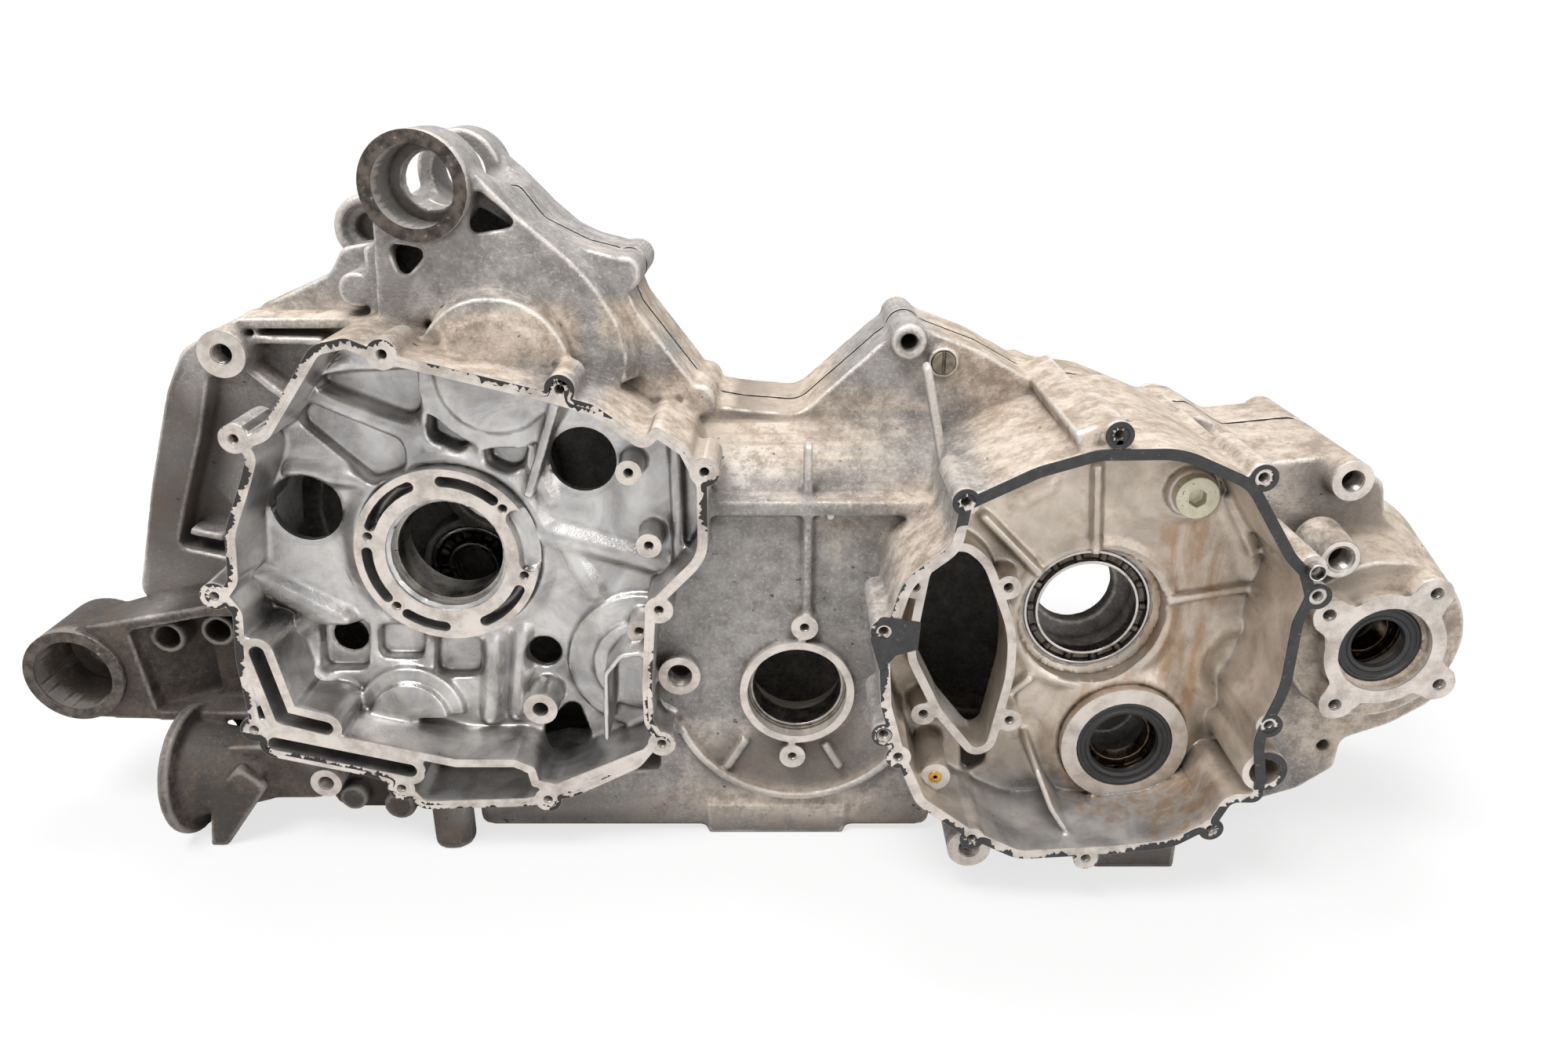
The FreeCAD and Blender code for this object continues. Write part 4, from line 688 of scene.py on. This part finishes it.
def on_machined_faces(points, normals, tolerance):
    """Exact level of the machined face that each point lies on, or not a number."""
    level = np.full(len(points), np.nan)
    for face_y, centre, reach in MACHINED_FACES + WORN_FACES:
        near = np.abs(points[:, 1] - face_y) < tolerance
        near &= (from_axis(points, centre)[2] < reach) & (normals[:, 1] < -0.6)
        level[near] = face_y
    return level


def on_circle(centre, radius, degrees):
    """X and Z of places at angles round a centre."""
    return [(centre[0] + radius * math.cos(math.radians(a)),
             centre[1] + radius * math.sin(math.radians(a))) for a in degrees]


def tapped_holes():
    """Every tapped hole: x, z, level of its mouth, tapping radius and thread pitch."""
    groups = [
        (LEFT_SCREWS, LEFT_FACE_Y, M6), (RIGHT_SCREWS, RIGHT_FACE_Y, M6),
        (RIGHT_DOWELS, RIGHT_FACE_Y, M6), (LENS_SCREWS, LENS_Y, M6), (POST_SCREWS, POST_Y, M6),
        (EAR_SCREWS, PANEL_RING_Y, M6), (on_circle(CRANK, *RING_SCREWS), CRANK_RING_Y, M6),
        (on_circle(HUB, *HUB_SCREWS), HUB_Y, M8), ([MOUNT_SCREW], MOUNT_BOSS_Y, MOUNT_THREAD),
        ([BOSS], BOSS_Y, M14), ([POST_BOSS], POST_BOSS_Y, M16), ([BLOCK_BOSS], BLOCK_BOSS_Y, M12),
        ([LOWER_BOSS], LOWER_BOSS_Y, M12), ([STUB], STUB_Y, M10),
    ]
    return [place + (level,) + size for places, level, size in groups for place in places]


def round_surfaces(points, normals, tolerance):
    """Points of each bored or turned surface: indices, axis and radius."""
    rows = [(centre, *row) for centre, surfaces in BORES.items() for row in surfaces]
    rows += [((x, z), radius + HOLE_WALL_MM, y, y + HOLE_DEPTH_MM)
             for x, z, y, radius, _ in tapped_holes()]
    found = []
    for centre, radius, y0, y1 in rows:
        x, z, reach = from_axis(points, centre)
        near = np.abs(reach - radius) < tolerance
        near &= (points[:, 1] > y0 - tolerance) & (points[:, 1] < y1 + tolerance)
        near &= np.abs(normals[:, 0] * x + normals[:, 2] * z) > 0.5 * reach
        found.append((np.flatnonzero(near), centre, radius))
    return found


def put_on_rounds(points, found):
    """Moves the points of each round surface to its exact radius."""
    for index, centre, radius in found:
        x, z, reach = from_axis(points[index], centre)
        scale = radius / reach
        points[index, 0] = centre[0] + x * scale
        points[index, 2] = centre[1] + z * scale


def rim_reach(points, level, face_y, centre):
    """Largest distance of a cover face's rim from its centre, for each degree round it."""
    x, z, radius = from_axis(points[level == face_y], centre)
    reach = np.zeros(360)
    np.maximum.at(reach, np.degrees(np.arctan2(z, x)).astype(int) % 360, radius)
    return np.maximum(reach, np.maximum(np.roll(reach, 1), np.roll(reach, -1)))


def web_rise(x, z, webs):
    """Height of the highest web at each place: full on its line, falling smoothly at its sides."""
    rise = np.zeros(len(x))
    for (x0, z0), (x1, z1), half, height in webs:
        run = np.array([x1 - x0, z1 - z0], float)
        t = np.clip(((x - x0) * run[0] + (z - z0) * run[1]) / (run @ run), 0, 1)
        reach = np.hypot(x - x0 - t * run[0], z - z0 - t * run[1])
        rise = np.maximum(rise, height * smooth_step(-reach, -half - 3.0, -half + 1.5))
    return rise


def raise_floors(points):
    """Lifts the chamber floors into their webs and fairings."""
    for _, centre, floor_y, webs, fairings in CHAMBERS:
        rise = web_rise(points[:, 0], points[:, 2], webs)
        for axis, inner, outer, height in fairings:
            reach = from_axis(points, axis)[2]
            ring = height * smooth_step(-reach, -outer, -inner - 1) * (reach > inner + 0.3)
            rise = np.maximum(rise, ring)
        low = (points[:, 1] > floor_y - rise) & (points[:, 1] < floor_y + 1.2) & (rise > 0.05)
        low &= from_axis(points, centre)[2] < CHAMBER_REACH_MM
        points[low, 1] = (floor_y - rise)[low]


def narrow_hub(points):
    """Draws the hub flange in to its waists.

    Its radius at an angle off the nearest ear is the waist's, plus the ear's rise times
    exp(-(angle / spread)^4).
    """
    x, z, radius = from_axis(points, HUB)
    first_ear = HUB_SCREWS[1][0]
    off = (np.degrees(np.arctan2(z, x)) - first_ear + 45) % 90 - 45
    limit = HUB_WAIST + (HUB_EAR - HUB_WAIST) * np.exp(-(np.abs(off) / HUB_EAR_SPREAD_DEG) ** 4)
    plate = (points[:, 1] > HUB_Y - 1) & (points[:, 1] < HUB_PLATE_BACK_Y)
    plate &= (radius > limit) & (radius < HUB_REACH)
    share = limit[plate] / radius[plate]
    points[plate, 0] = HUB[0] + x[plate] * share
    points[plate, 2] = HUB[1] + z[plate] * share


def chamber_share(points, normals, level):
    """One on the washed skin inside either chamber, nought outside."""
    chamber = np.zeros(len(points))
    for face_y, centre, floor_y, _, _ in CHAMBERS:
        reach = rim_reach(points, level, face_y, centre)
        x, z, radius = from_axis(points, centre)
        rim = reach[np.degrees(np.arctan2(z, x)).astype(int) % 360]
        facing = (normals[:, 0] * x + normals[:, 2] * z) / np.maximum(radius, 1e-6)
        inside = (radius < rim - RIM_WIDTH_MM) | ((radius < rim - RIM_EDGE_MM) & (facing < 0.1))
        chamber[inside & (points[:, 1] < floor_y + WASHED_DEPTH_MM)] = 1.0
    return chamber


def cast_skin(node, triangles, material):
    """A casting rebuilt from its solid: corners rounded as cast, machined surfaces kept true."""
    voxel = VOXEL_MM
    tolerance = 0.75 * voxel
    piece, mesh = rebuilt_copy(node, node + "_skin", voxel)
    points, normals = mesh_arrays(mesh)
    level = on_machined_faces(points, normals, tolerance)
    flat = ~np.isnan(level)
    joint = np.abs(points[:, 1]) < tolerance
    points[flat, 1] = level[flat]
    rounds = round_surfaces(points, normals, tolerance)
    put_on_rounds(points, rounds)
    if node == "front_case":
        raise_floors(points)
        narrow_hub(points)
    share = np.full((len(points), 3), 0.5)
    share[flat | joint] = (0.25, 0.0, 0.25)
    points = relax(points, mesh_edges(mesh), share, RELAX_ROUNDS)
    put_on_rounds(points, rounds)
    put_points(mesh, points)
    points, normals = mesh_arrays(mesh)
    put_shares(mesh, {
        "chamber": chamber_share(points, normals, level),
        "relief": relief_at(points, normals, mesh_edges(mesh)),
        "grime": place_share(points, GRIME_PLACES), "dust": place_share(points, DUST_PLACES),
        "rubbed": place_share(points, RUBBED_PLACES),
    })
    faces = len(mesh.polygons) * 2
    if faces > triangles:
        mesh = modified(piece, "DECIMATE", ratio=triangles / faces)
    finish_mesh(mesh, material, SKIN_EDGE_DEG)
    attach(piece, "case")
    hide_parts(node)


def faces_at(node, rows):
    """Triangles of a CAD node that lie on flat faces towards the front, with merged points."""
    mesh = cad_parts[node].data
    points = np.round(stored(mesh.vertices, "co", 3).astype(float) / MM, 3)
    triangles = stored(mesh.loops, "vertex_index", 1, np.int32).reshape(-1, 3)
    facing = stored(mesh.polygons, "normal", 3)[:, 1] < -0.99
    middle = points[triangles].mean(axis=1)
    keep = np.zeros(len(triangles), bool)
    for level, centre, reach in rows:
        near = np.abs(points[triangles][:, :, 1] - level).max(axis=1) < 0.02
        keep |= facing & near & (from_axis(middle, centre)[2] < reach)
    merged, index = np.unique(points[triangles[keep]].reshape(-1, 3), axis=0,
                              return_inverse=True)
    return merged, index.reshape(-1, 3)


def open_edges(triangles):
    """Directed edges that only one triangle has."""
    edges = np.concatenate([triangles[:, (0, 1)], triangles[:, (1, 2)], triangles[:, (2, 0)]])
    size = triangles.max() + 1
    forth = edges[:, 0] * size + edges[:, 1]
    back = edges[:, 1] * size + edges[:, 0]
    return edges[~np.isin(forth, back)]


def face_plates(name, node, rows, material):
    """True machined faces: each flat face of the solid as a thin plate let into the skin."""
    points, triangles = faces_at(node, rows)
    count = len(points)
    front = points - (0, PLATE_LIFT_MM, 0)
    back = points + (0, PLATE_DEPTH_MM, 0)
    rim = open_edges(triangles)
    sides = np.stack([rim[:, 1], rim[:, 0], rim[:, 0] + count, rim[:, 1] + count], axis=1)
    mesh = bpy.data.meshes.new(name)
    mesh.from_pydata((np.vstack([front, back]) * MM).tolist(), [], triangles.tolist()
                     + (triangles[:, ::-1] + count).tolist() + sides.tolist())
    mesh.materials.append(material)
    fit_hub_plate(mesh)
    piece = link(name, mesh)
    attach(piece, "case")


def fit_hub_plate(mesh):
    """Cuts a plate's hub face finely and draws it in to the flange's waists."""
    grid = bmesh.new()
    grid.from_mesh(mesh)
    edges = [edge for edge in grid.edges
             if all(abs(v.co.y - HUB_Y * MM) < 1.5 * MM
                    and math.hypot(v.co.x - HUB[0] * MM, v.co.z - HUB[1] * MM) < HUB_REACH * MM
                    for v in edge.verts)
             and edge.calc_length() > HUB_LONGEST_EDGE_MM * MM]
    if edges:
        bmesh.ops.subdivide_edges(grid, edges=edges, cuts=HUB_CUTS, use_grid_fill=True)
        bmesh.ops.triangulate(grid, faces=[face for face in grid.faces if len(face.verts) > 4])
    grid.to_mesh(mesh)
    grid.free()
    points, _ = mesh_arrays(mesh)
    narrow_hub(points)
    put_points(mesh, points)


def outline_loop(node, row):
    """Outer outline of a cover face, in even steps, anticlockwise as seen from the front."""
    points, triangles = faces_at(node, [row])
    follow = dict(open_edges(triangles).tolist())
    loops = []
    while follow:
        start, here = follow.popitem()
        loop = [start]
        while here != start and here in follow:
            loop.append(here)
            here = follow.pop(here)
        loops.append(points[loop][:, (0, 2)])
    longest = max(loops, key=lambda loop: np.linalg.norm(np.diff(loop, axis=0), axis=1).sum())
    closed = np.vstack([longest, longest[:1]])
    along = np.concatenate([[0], np.cumsum(np.linalg.norm(np.diff(closed, axis=0), axis=1))])
    steps = np.linspace(0, along[-1], int(along[-1] / SEALANT_STEP_MM), endpoint=False)
    return np.stack([np.interp(steps, along, closed[:, 0]), np.interp(steps, along, closed[:, 1])],
                    axis=1)


def ring_noise(rng, count, knots):
    """Smooth noise from nought to one round a closed line."""
    values = rng.random(knots)
    place = np.arange(count) * knots / count
    low = place.astype(int)
    t = place - low
    t = t * t * (3 - 2 * t)
    return values[low % knots] * (1 - t) + values[(low + 1) % knots] * t


def sealant_trace(name, row, inset, cover, seed, material):
    """Torn film of sealant along a cover face's outer edge.

    Its width is a sum of coarse and fine noise round the outline, and nothing where that is
    under nought; the section is a flat strip from the inset inwards.
    """
    level = row[0]
    line = outline_loop("front_case", row)
    count = len(line)
    ahead = np.roll(line, -2, axis=0) - np.roll(line, 2, axis=0)
    ahead /= np.maximum(np.linalg.norm(ahead, axis=1), 1e-6)[:, None]
    inward = np.stack([-ahead[:, 1], ahead[:, 0]], axis=1)
    length = count * SEALANT_STEP_MM
    rng = np.random.default_rng(seed)
    amount, wave = SEALANT_SPREAD
    width = amount * (ring_noise(rng, count, int(length / wave)) - cover)
    for amount, wave in SEALANT_TEARS:
        width += amount * (ring_noise(rng, count, int(length / wave)) - 0.5)
    width = np.clip(width, 0.0, SEALANT_WIDEST_MM)
    rise = np.where(width > SEALANT_LEAST_MM, SEALANT_HEIGHT_MM, 0.0)
    outer = line + inward * inset
    inner = line + inward * (inset + np.maximum(width, 0.05))[:, None]
    top = level - PLATE_LIFT_MM - 0.005 - rise
    root = np.full(count, level + SEALANT_ROOT_MM)
    points = np.stack([np.stack([place[:, 0], height, place[:, 1]], axis=1) for place, height in
                       ((outer, root), (outer, top), (inner, top), (inner, root))], axis=1)
    mesh = grid_mesh(name, points, material)
    mesh.polygons.foreach_set("use_smooth", np.zeros(len(mesh.polygons), bool))
    piece = link(name, mesh)
    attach(piece, "case")


def soft_edged(node, voxel, material):
    """A small part rebuilt from its solid with its edges broken, as turned or moulded."""
    piece, mesh = rebuilt_copy(node, node + "_finished", voxel)
    points, _ = mesh_arrays(mesh)
    share = np.full((len(points), 3), 0.5)
    put_points(mesh, relax(points, mesh_edges(mesh), share, PART_ROUNDS))
    finish_mesh(mesh, material, PART_EDGE_DEG)
    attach(piece, "case")
    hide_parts(node)


def outward(mesh):
    """Turns a closed mesh's faces outwards."""
    grid = bmesh.new()
    grid.from_mesh(mesh)
    bmesh.ops.recalc_face_normals(grid, faces=grid.faces)
    grid.to_mesh(mesh)
    grid.free()


def grid_quads(rows, columns, close_rows=False):
    """Quads between the points of a grid whose columns close to a ring, and its rows if asked."""
    index = np.arange(rows * columns).reshape(rows, columns)
    index = np.hstack([index, index[:, :1]])
    if close_rows:
        index = np.vstack([index, index[:1]])
    quads = np.stack([index[:-1, :-1], index[:-1, 1:], index[1:, 1:], index[1:, :-1]], axis=-1)
    return quads.reshape(-1, 4)


def grid_mesh(name, points, material):
    """Closed mesh from an array of rows by columns of points, in millimetres."""
    rows, columns = points.shape[:2]
    quads = grid_quads(rows, columns, True)[:, (0, 3, 2, 1)]
    mesh = bpy.data.meshes.new(name)
    mesh.from_pydata((points.reshape(-1, 3) * MM).tolist(), [], quads.tolist())
    finish_mesh(mesh, material)
    mesh.update()
    outward(mesh)
    return mesh


def soft_profile(corners, radius, steps=3):
    """Closed profile with each corner replaced by an arc of the radius."""
    corners = np.array(corners, float)
    before = np.roll(corners, 1, axis=0) - corners
    after = np.roll(corners, -1, axis=0) - corners
    reach = np.minimum(np.linalg.norm(before, axis=1), np.linalg.norm(after, axis=1)) * 0.45
    reach = np.minimum(reach, radius)[:, None]
    start = corners + before / np.linalg.norm(before, axis=1)[:, None] * reach
    end = corners + after / np.linalg.norm(after, axis=1)[:, None] * reach
    t = np.linspace(0, 1, steps + 1)[None, :, None]
    curve = (1 - t) ** 2 * start[:, None] + 2 * t * (1 - t) * corners[:, None]
    curve = curve + t ** 2 * end[:, None]
    return curve.reshape(-1, 2)


def round_axis(axis, radius, angle, level):
    """Points at a radius, an angle and a level round an axis, in millimetres."""
    x = axis[0] + radius * np.cos(angle)
    return np.stack([x, np.broadcast_to(level, x.shape), axis[1] + radius * np.sin(angle)], axis=-1)


def turned_piece(name, axis, profile, material, body, node=None, segments=96):
    """Ring turned about Y: the closed profile of (radius, level) points carried round the axis."""
    angle = np.linspace(0, 2 * math.pi, segments, endpoint=False)[:, None]
    mesh = grid_mesh(name, round_axis(axis, profile[:, 0], angle, profile[:, 1]), material)
    piece = link(name, mesh)
    mesh.set_sharp_from_angle(angle=math.radians(TURNED_EDGE_DEG))
    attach(piece, body)
    if node:
        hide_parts(node)
    return piece


def ball_set(name, axis, pitch, level, radius, count, material, body, node):
    """Round balls: a sphere's surface at each place on the pitch circle."""
    across, down = BALL_GRID
    turn = np.linspace(0, 2 * math.pi, across, endpoint=False)
    tilt = np.linspace(0.02, math.pi - 0.02, down)
    unit = np.stack([np.outer(np.sin(tilt), np.cos(turn)), np.outer(np.cos(tilt), np.ones(across)),
                     np.outer(np.sin(tilt), np.sin(turn))], axis=-1).reshape(-1, 3)
    place = 2 * math.pi * np.arange(count) / count
    points = round_axis(axis, pitch, place, level)[:, None] + unit[None] * radius
    quads = grid_quads(down, across)
    size = down * across
    faces = []
    for shift in range(0, count * size, size):
        faces += (quads + shift).tolist()
        faces += [list(range(shift + across - 1, shift - 1, -1)),
                  list(range(shift + size - across, shift + size))]
    mesh = bpy.data.meshes.new(name)
    mesh.from_pydata((points.reshape(-1, 3) * MM).tolist(), [], faces)
    finish_mesh(mesh, material)
    outward(mesh)
    piece = link(name, mesh)
    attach(piece, body)
    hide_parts(node)


def ball_cage(name, axis, pitch, level, ball, count, half_width, material, body):
    """Pressed ribbon cage on each side of the balls.

    Its height over the middle plane at arc s from a ball's centre is the root of ball squared
    less s squared, where that is real, and a small flat between the balls.
    """
    angle = np.linspace(0, 2 * math.pi, count * CAGE_STEPS, endpoint=False)[:, None]
    step = 2 * math.pi / count
    arc = pitch * np.abs((angle + step / 2) % step - step / 2)
    low = CAGE_GAP_MM + np.sqrt(np.maximum(ball ** 2 - arc ** 2, 0.0)) * CAGE_FIT
    high = low + CAGE_SHEET_MM
    lift = np.hstack([low, low, high, high])
    radius = pitch + half_width * np.array([[-1, 1, 1, -1]])
    for side, place in ((-1, "_cage_front"), (1, "_cage_back")):
        points = round_axis(axis, radius, angle, level + side * lift)
        mesh = grid_mesh(name + place, points, material)
        piece = link(name + place, mesh)
        mesh.set_sharp_from_angle(angle=math.radians(TURNED_EDGE_DEG))
        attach(piece, body)


def make_bearing(name, steel, cage_steel):
    """Both rings with their grooves and small rounded edges, the balls between them, the cage."""
    axis, bore, outer, width, y, count = BEARINGS[name]
    pitch = (bore + outer) / 2
    gap = outer - bore
    ball = BALL_SHARE * gap
    mid = y + width / 2
    sweep = np.linspace(-GROOVE_HALF_ANGLE, GROOVE_HALF_ANGLE, 9)
    groove = (ball + GROOVE_CLEARANCE_MM) * np.cos(sweep)
    along = (ball + GROOVE_CLEARANCE_MM) * np.sin(sweep)
    for ring, rim, towards, body in (("_bearing_outer", outer, -1, "case"),
                                     ("_bearing_inner", bore, 1, name + "_inner")):
        land = rim + towards * LAND_SHARE * gap
        edge = soft_profile([(rim, y), (rim, y + width), (land, y + width), (land, y)],
                            RING_EDGE_MM)
        race = np.stack([pitch - towards * groove, mid + along[::-1]], axis=-1)
        race = race[towards * (race[:, 0] - land) < 0]
        last = 3 * (len(edge) // 4)
        turned_piece(name + ring, axis, np.vstack([edge[:last], race, edge[last:]]), steel, body,
                     name + ring + "_ring")
    ball_set(name + "_bearing_ball_row", axis, pitch, mid, ball, count, steel, name + "_balls",
             name + "_bearing_balls")
    ball_cage(name + "_bearing", axis, pitch, mid, ball, count, CAGE_SHARE * gap, cage_steel,
              name + "_balls")


def make_seal(node, rubber):
    """Moulded oil seal: outer band, sunk web with a rounded root, and a lip that leans inwards."""
    axis, bore, outer, width, y = SEALS[node]
    profile = soft_profile([
        (outer, y + 0.6), (outer, y + width), (outer - 2.0, y + width), (outer - 2.2, y + 2.6),
        (bore + 3.2, y + 2.6), (bore + 2.2, y + width - 2.0), (bore, y + width - 3.2),
        (bore + 0.9, y + 2.4), (bore + 0.2, y + 1.2), (bore + 2.2, y + 0.2),
        (bore + 3.0, y + 1.1), (outer - 2.6, y + 1.1), (outer - 2.0, y), (outer - 0.6, y)], 0.45, 3)
    turned_piece(node + "_moulding", axis, profile, rubber, "case", node, 128)


def make_tapped_holes(material):
    """Countersunk thread in each tapped hole: a helix of pitch p, its radius swinging with depth.

    The surface's radius at angle a and depth d is the tapping radius less a triangle wave of
    d / p - a / 2 pi, and its mouth opens into a 45 degree countersink.
    """
    angle = np.linspace(0, 2 * math.pi, THREAD_AROUND, endpoint=False)
    all_points, all_faces, start = [], [], 0
    for x, z, y, radius, pitch in tapped_holes():
        depth = np.arange(THREAD_START_MM, THREAD_DEPTH_MM, pitch / 4)
        wave = np.abs(((depth[:, None] / pitch - angle[None] / (2 * math.pi)) % 1.0) - 0.5) * 2
        inner = radius - THREAD_CLEARANCE_MM - THREAD_HEIGHT * pitch * wave
        mouth = np.array(COUNTERSINK) + (radius, 0.0)
        rings = np.vstack([np.repeat(mouth[:, :1], THREAD_AROUND, axis=1), inner])
        levels = y + np.concatenate([mouth[:, 1], depth])[:, None]
        all_points.append(round_axis((x, z), rings, angle, levels).reshape(-1, 3))
        all_faces += (grid_quads(*rings.shape) + start).tolist()
        start += rings.size
    mesh = bpy.data.meshes.new("tapped_holes")
    mesh.from_pydata((np.vstack(all_points) * MM).tolist(), [], all_faces)
    mesh.materials.append(material)
    piece = link("tapped_holes", mesh)
    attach(piece, "case")


def make_threaded_boss(cast, milled):
    """Round boss beside the cover dowel, with its milled face."""
    root, face, hole = BOSS_RADII
    profile = soft_profile([
        (root, BOSS_ROOT_Y), (face, BOSS_Y), (hole + 0.9, BOSS_Y), (hole, BOSS_Y + 0.9),
        (hole, BOSS_Y + 19), (0.3, BOSS_Y + 22), (0.3, BOSS_ROOT_Y)], 0.8)
    boss = turned_piece("threaded_boss", BOSS, profile, cast, "case")
    put_shares(boss.data, BOSS_SHARES)
    ring = soft_profile([(face - 0.5, BOSS_Y - 0.05), (face - 0.5, BOSS_Y + 0.3),
                         (hole + 0.8, BOSS_Y + 0.3), (hole + 0.8, BOSS_Y - 0.05)], 0.03)
    face_ring = turned_piece("threaded_boss_face", BOSS, ring, milled, "case")


def make_camera():
    camera = bpy.data.cameras.new("camera")
    camera.sensor_width = SENSOR_MM
    camera.lens = SENSOR_MM * FOCAL_PX / PHOTO_WIDTH_PX
    camera.clip_start = 0.05
    piece = link("camera", camera)
    piece.location = [c * MM for c in CAMERA_AT]
    piece.rotation_euler = (math.radians(90 - PITCH_DEG), 0, 0)
    bpy.context.scene.camera = piece


def make_lamp(name, at, size, power):
    """Oblong lamp that looks at the middle of the object."""
    lamp = bpy.data.lights.new(name, "AREA")
    lamp.shape = "RECTANGLE"
    lamp.size, lamp.size_y = size
    lamp.energy = power
    piece = link(name, lamp)
    piece.location = at
    aim = np.array(LAMP_TARGET) - np.array(at)
    piece.rotation_euler = (math.acos(-aim[2] / np.linalg.norm(aim)), 0,
                            math.atan2(aim[0], -aim[1]) + math.pi)


def seen_white(tree, plain):
    """White where the camera, a gloss or glass looks, plain light for all else."""
    path = add(tree, "ShaderNodeLightPath")
    seen = maths(tree, "MAXIMUM", path.outputs["Is Camera Ray"],
                 maths(tree, "MAXIMUM", path.outputs["Is Glossy Ray"],
                       path.outputs["Is Transmission Ray"]))
    return between(tree, plain, 1.0, seen)


def make_studio():
    world = bpy.data.worlds.new("studio")
    bpy.context.scene.world = world
    world.use_nodes = True
    tree = world.node_tree
    tree.nodes.clear()
    light = add(tree, "ShaderNodeBackground",
                {"Color": (1, 1, 1, 1), "Strength": seen_white(tree, WORLD_STRENGTH)})
    add(tree, "ShaderNodeOutputWorld", {"Surface": light.outputs["Background"]})
    for name, (at, size, power) in LAMPS.items():
        make_lamp(name, at, size, power)


def make_floor():
    """Pale floor that holds the object's shadow and fades to white away from it."""
    low = cad_box[0][2]
    mesh = bpy.data.meshes.new("floor")
    mesh.from_pydata([(x * FLOOR_HALF, y * FLOOR_HALF, low)
                      for x, y in ((-1, -1), (1, -1), (1, 1), (-1, 1))], [], [(0, 1, 2, 3)])
    material, tree = new_material("pale_floor")
    point = object_point(tree)
    away = add(tree, "ShaderNodeVectorMath", {0: point, 1: (*FLOOR_MIDDLE, low)},
               operation="DISTANCE").outputs["Value"]
    shader = add(tree, "ShaderNodeBsdfDiffuse", {"Color": (0.9, 0.9, 0.9, 1)})
    glow = add(tree, "ShaderNodeEmission", {"Color": (1, 1, 1, 1), "Strength": 1.0})
    path = add(tree, "ShaderNodeLightPath")
    white = maths(tree, "MULTIPLY", path.outputs["Is Camera Ray"],
                  ramp(tree, away, *FLOOR_FADE, FLOOR_WHITE, 1.0))
    mixed = add(tree, "ShaderNodeMixShader",
                {0: white, 1: shader.outputs["BSDF"], 2: glow.outputs["Emission"]})
    add(tree, "ShaderNodeOutputMaterial", {"Surface": mixed.outputs[0]})
    mesh.materials.append(material)
    link("floor", mesh)


def paint(node, material):
    """Gives a CAD node its finish."""
    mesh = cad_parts[node].data
    mesh.materials.clear()
    mesh.materials.append(material)


def main():
    make_camera()
    bpy.context.scene.view_settings.view_transform = "Standard"
    make_studio()
    make_floor()
    aluminium = make_cast_aluminium()
    milled = make_milled_aluminium()
    steel = make_ground_steel()
    cage = make_plain("pressed_cage_steel", "#3f3a35", "#6a635a", 1.0, 0.3, 0.45, 5.0)
    thread = make_plain("cut_thread", "#8f8a84", "#b3ada6", 0.9, 0.28, 0.4, 3.0)
    rubber = make_plain("moulded_rubber", "#212122", "#2f2f30", 0.0, 0.45, 0.65, 7.0)
    plated = make_plain("zinc_plated_steel", "#c3bda3", "#d9d4c0", 0.6, 0.35, 0.5, 5.0, 0.1,
                        "#3a3831")
    worn = make_plain("worn_steel", "#6e665c", "#8f8778", 0.8, 0.45, 0.6, 4.0)
    worn_face = make_plain("worn_eye_face", "#2b2622", "#5f564d", 0.35, 0.4, 0.6, 6.0, 0.2,
                           "#a0947f")
    sealant = make_plain("dried_sealant", "#161514", "#2a2826", 0.0, 0.5, 0.8, 6.0)
    paper = make_plain("gasket_paper", "#2b2b2c", "#3b3b3c", 0.0, 0.72, 0.88, 5.0, 0.2,
                       "#6f6c68")
    shell = make_plain("shell_lining", "#76726d", "#a8a39b", 1.0, 0.25, 0.42, 8.0, 0.1,
                       "#4c3f34")
    bead = make_plain("white_bead", "#dcdad2", "#efede6", 0.0, 0.4, 0.5, 2.0)
    brass = make_plain("turned_brass", "#b0813c", "#cda05a", 1.0, 0.25, 0.35, 3.0)
    # Countershaft and output bearings: brown oil film, and steel darkened as painted shade for the
    # rings seen in the seal bores
    oily_shaded_steel = make_plain("oily_shaded_bearing_steel", "#43362c", "#75624f", 1.0, 0.22, 0.36, 6.0)
    cast_skin("front_case", FRONT_TRIANGLES, aluminium)
    cast_skin("rear_case", REAR_TRIANGLES, aluminium)
    face_plates("milled_faces", "front_case", MACHINED_FACES, milled)
    face_plates("worn_eye_faces", "front_case", WORN_FACES, worn_face)
    sealant_trace("left_rim_sealant", LEFT_COVER_FACE, 0.1, 0.42, 11, sealant)
    sealant_trace("left_rim_flakes", LEFT_COVER_FACE, 2.6, 0.78, 12, sealant)
    sealant_trace("right_rim_sealant", RIGHT_COVER_FACE, 0.1, 0.3, 13, paper)
    for name in BEARINGS:
        make_bearing(name, oily_shaded_steel if name in ("countershaft", "output") else steel, cage)
    for node in SEALS:
        make_seal(node, rubber)
    make_tapped_holes(thread)
    make_threaded_boss(aluminium, milled)
    for node, voxel, material in (
            ("socket_plug", 0.4, plated), ("slotted_plug", 0.3, worn), ("oil_jet", 0.25, brass),
            ("cover_dowel", 0.35, steel), ("case_screws", 0.85, plated), ("bead_plug", 0.2, bead),
            ("shift_circlip", 0.35, worn), ("shift_sleeve", 0.6, shell)):
        soft_edged(node, voxel, material)
    paint("joint_sealant", sealant)
    paint("cover_gasket", paper)
    for place in ("front_upper", "front_lower", "rear_upper", "rear_lower"):
        paint("crank_shell_" + place, shell)


main()
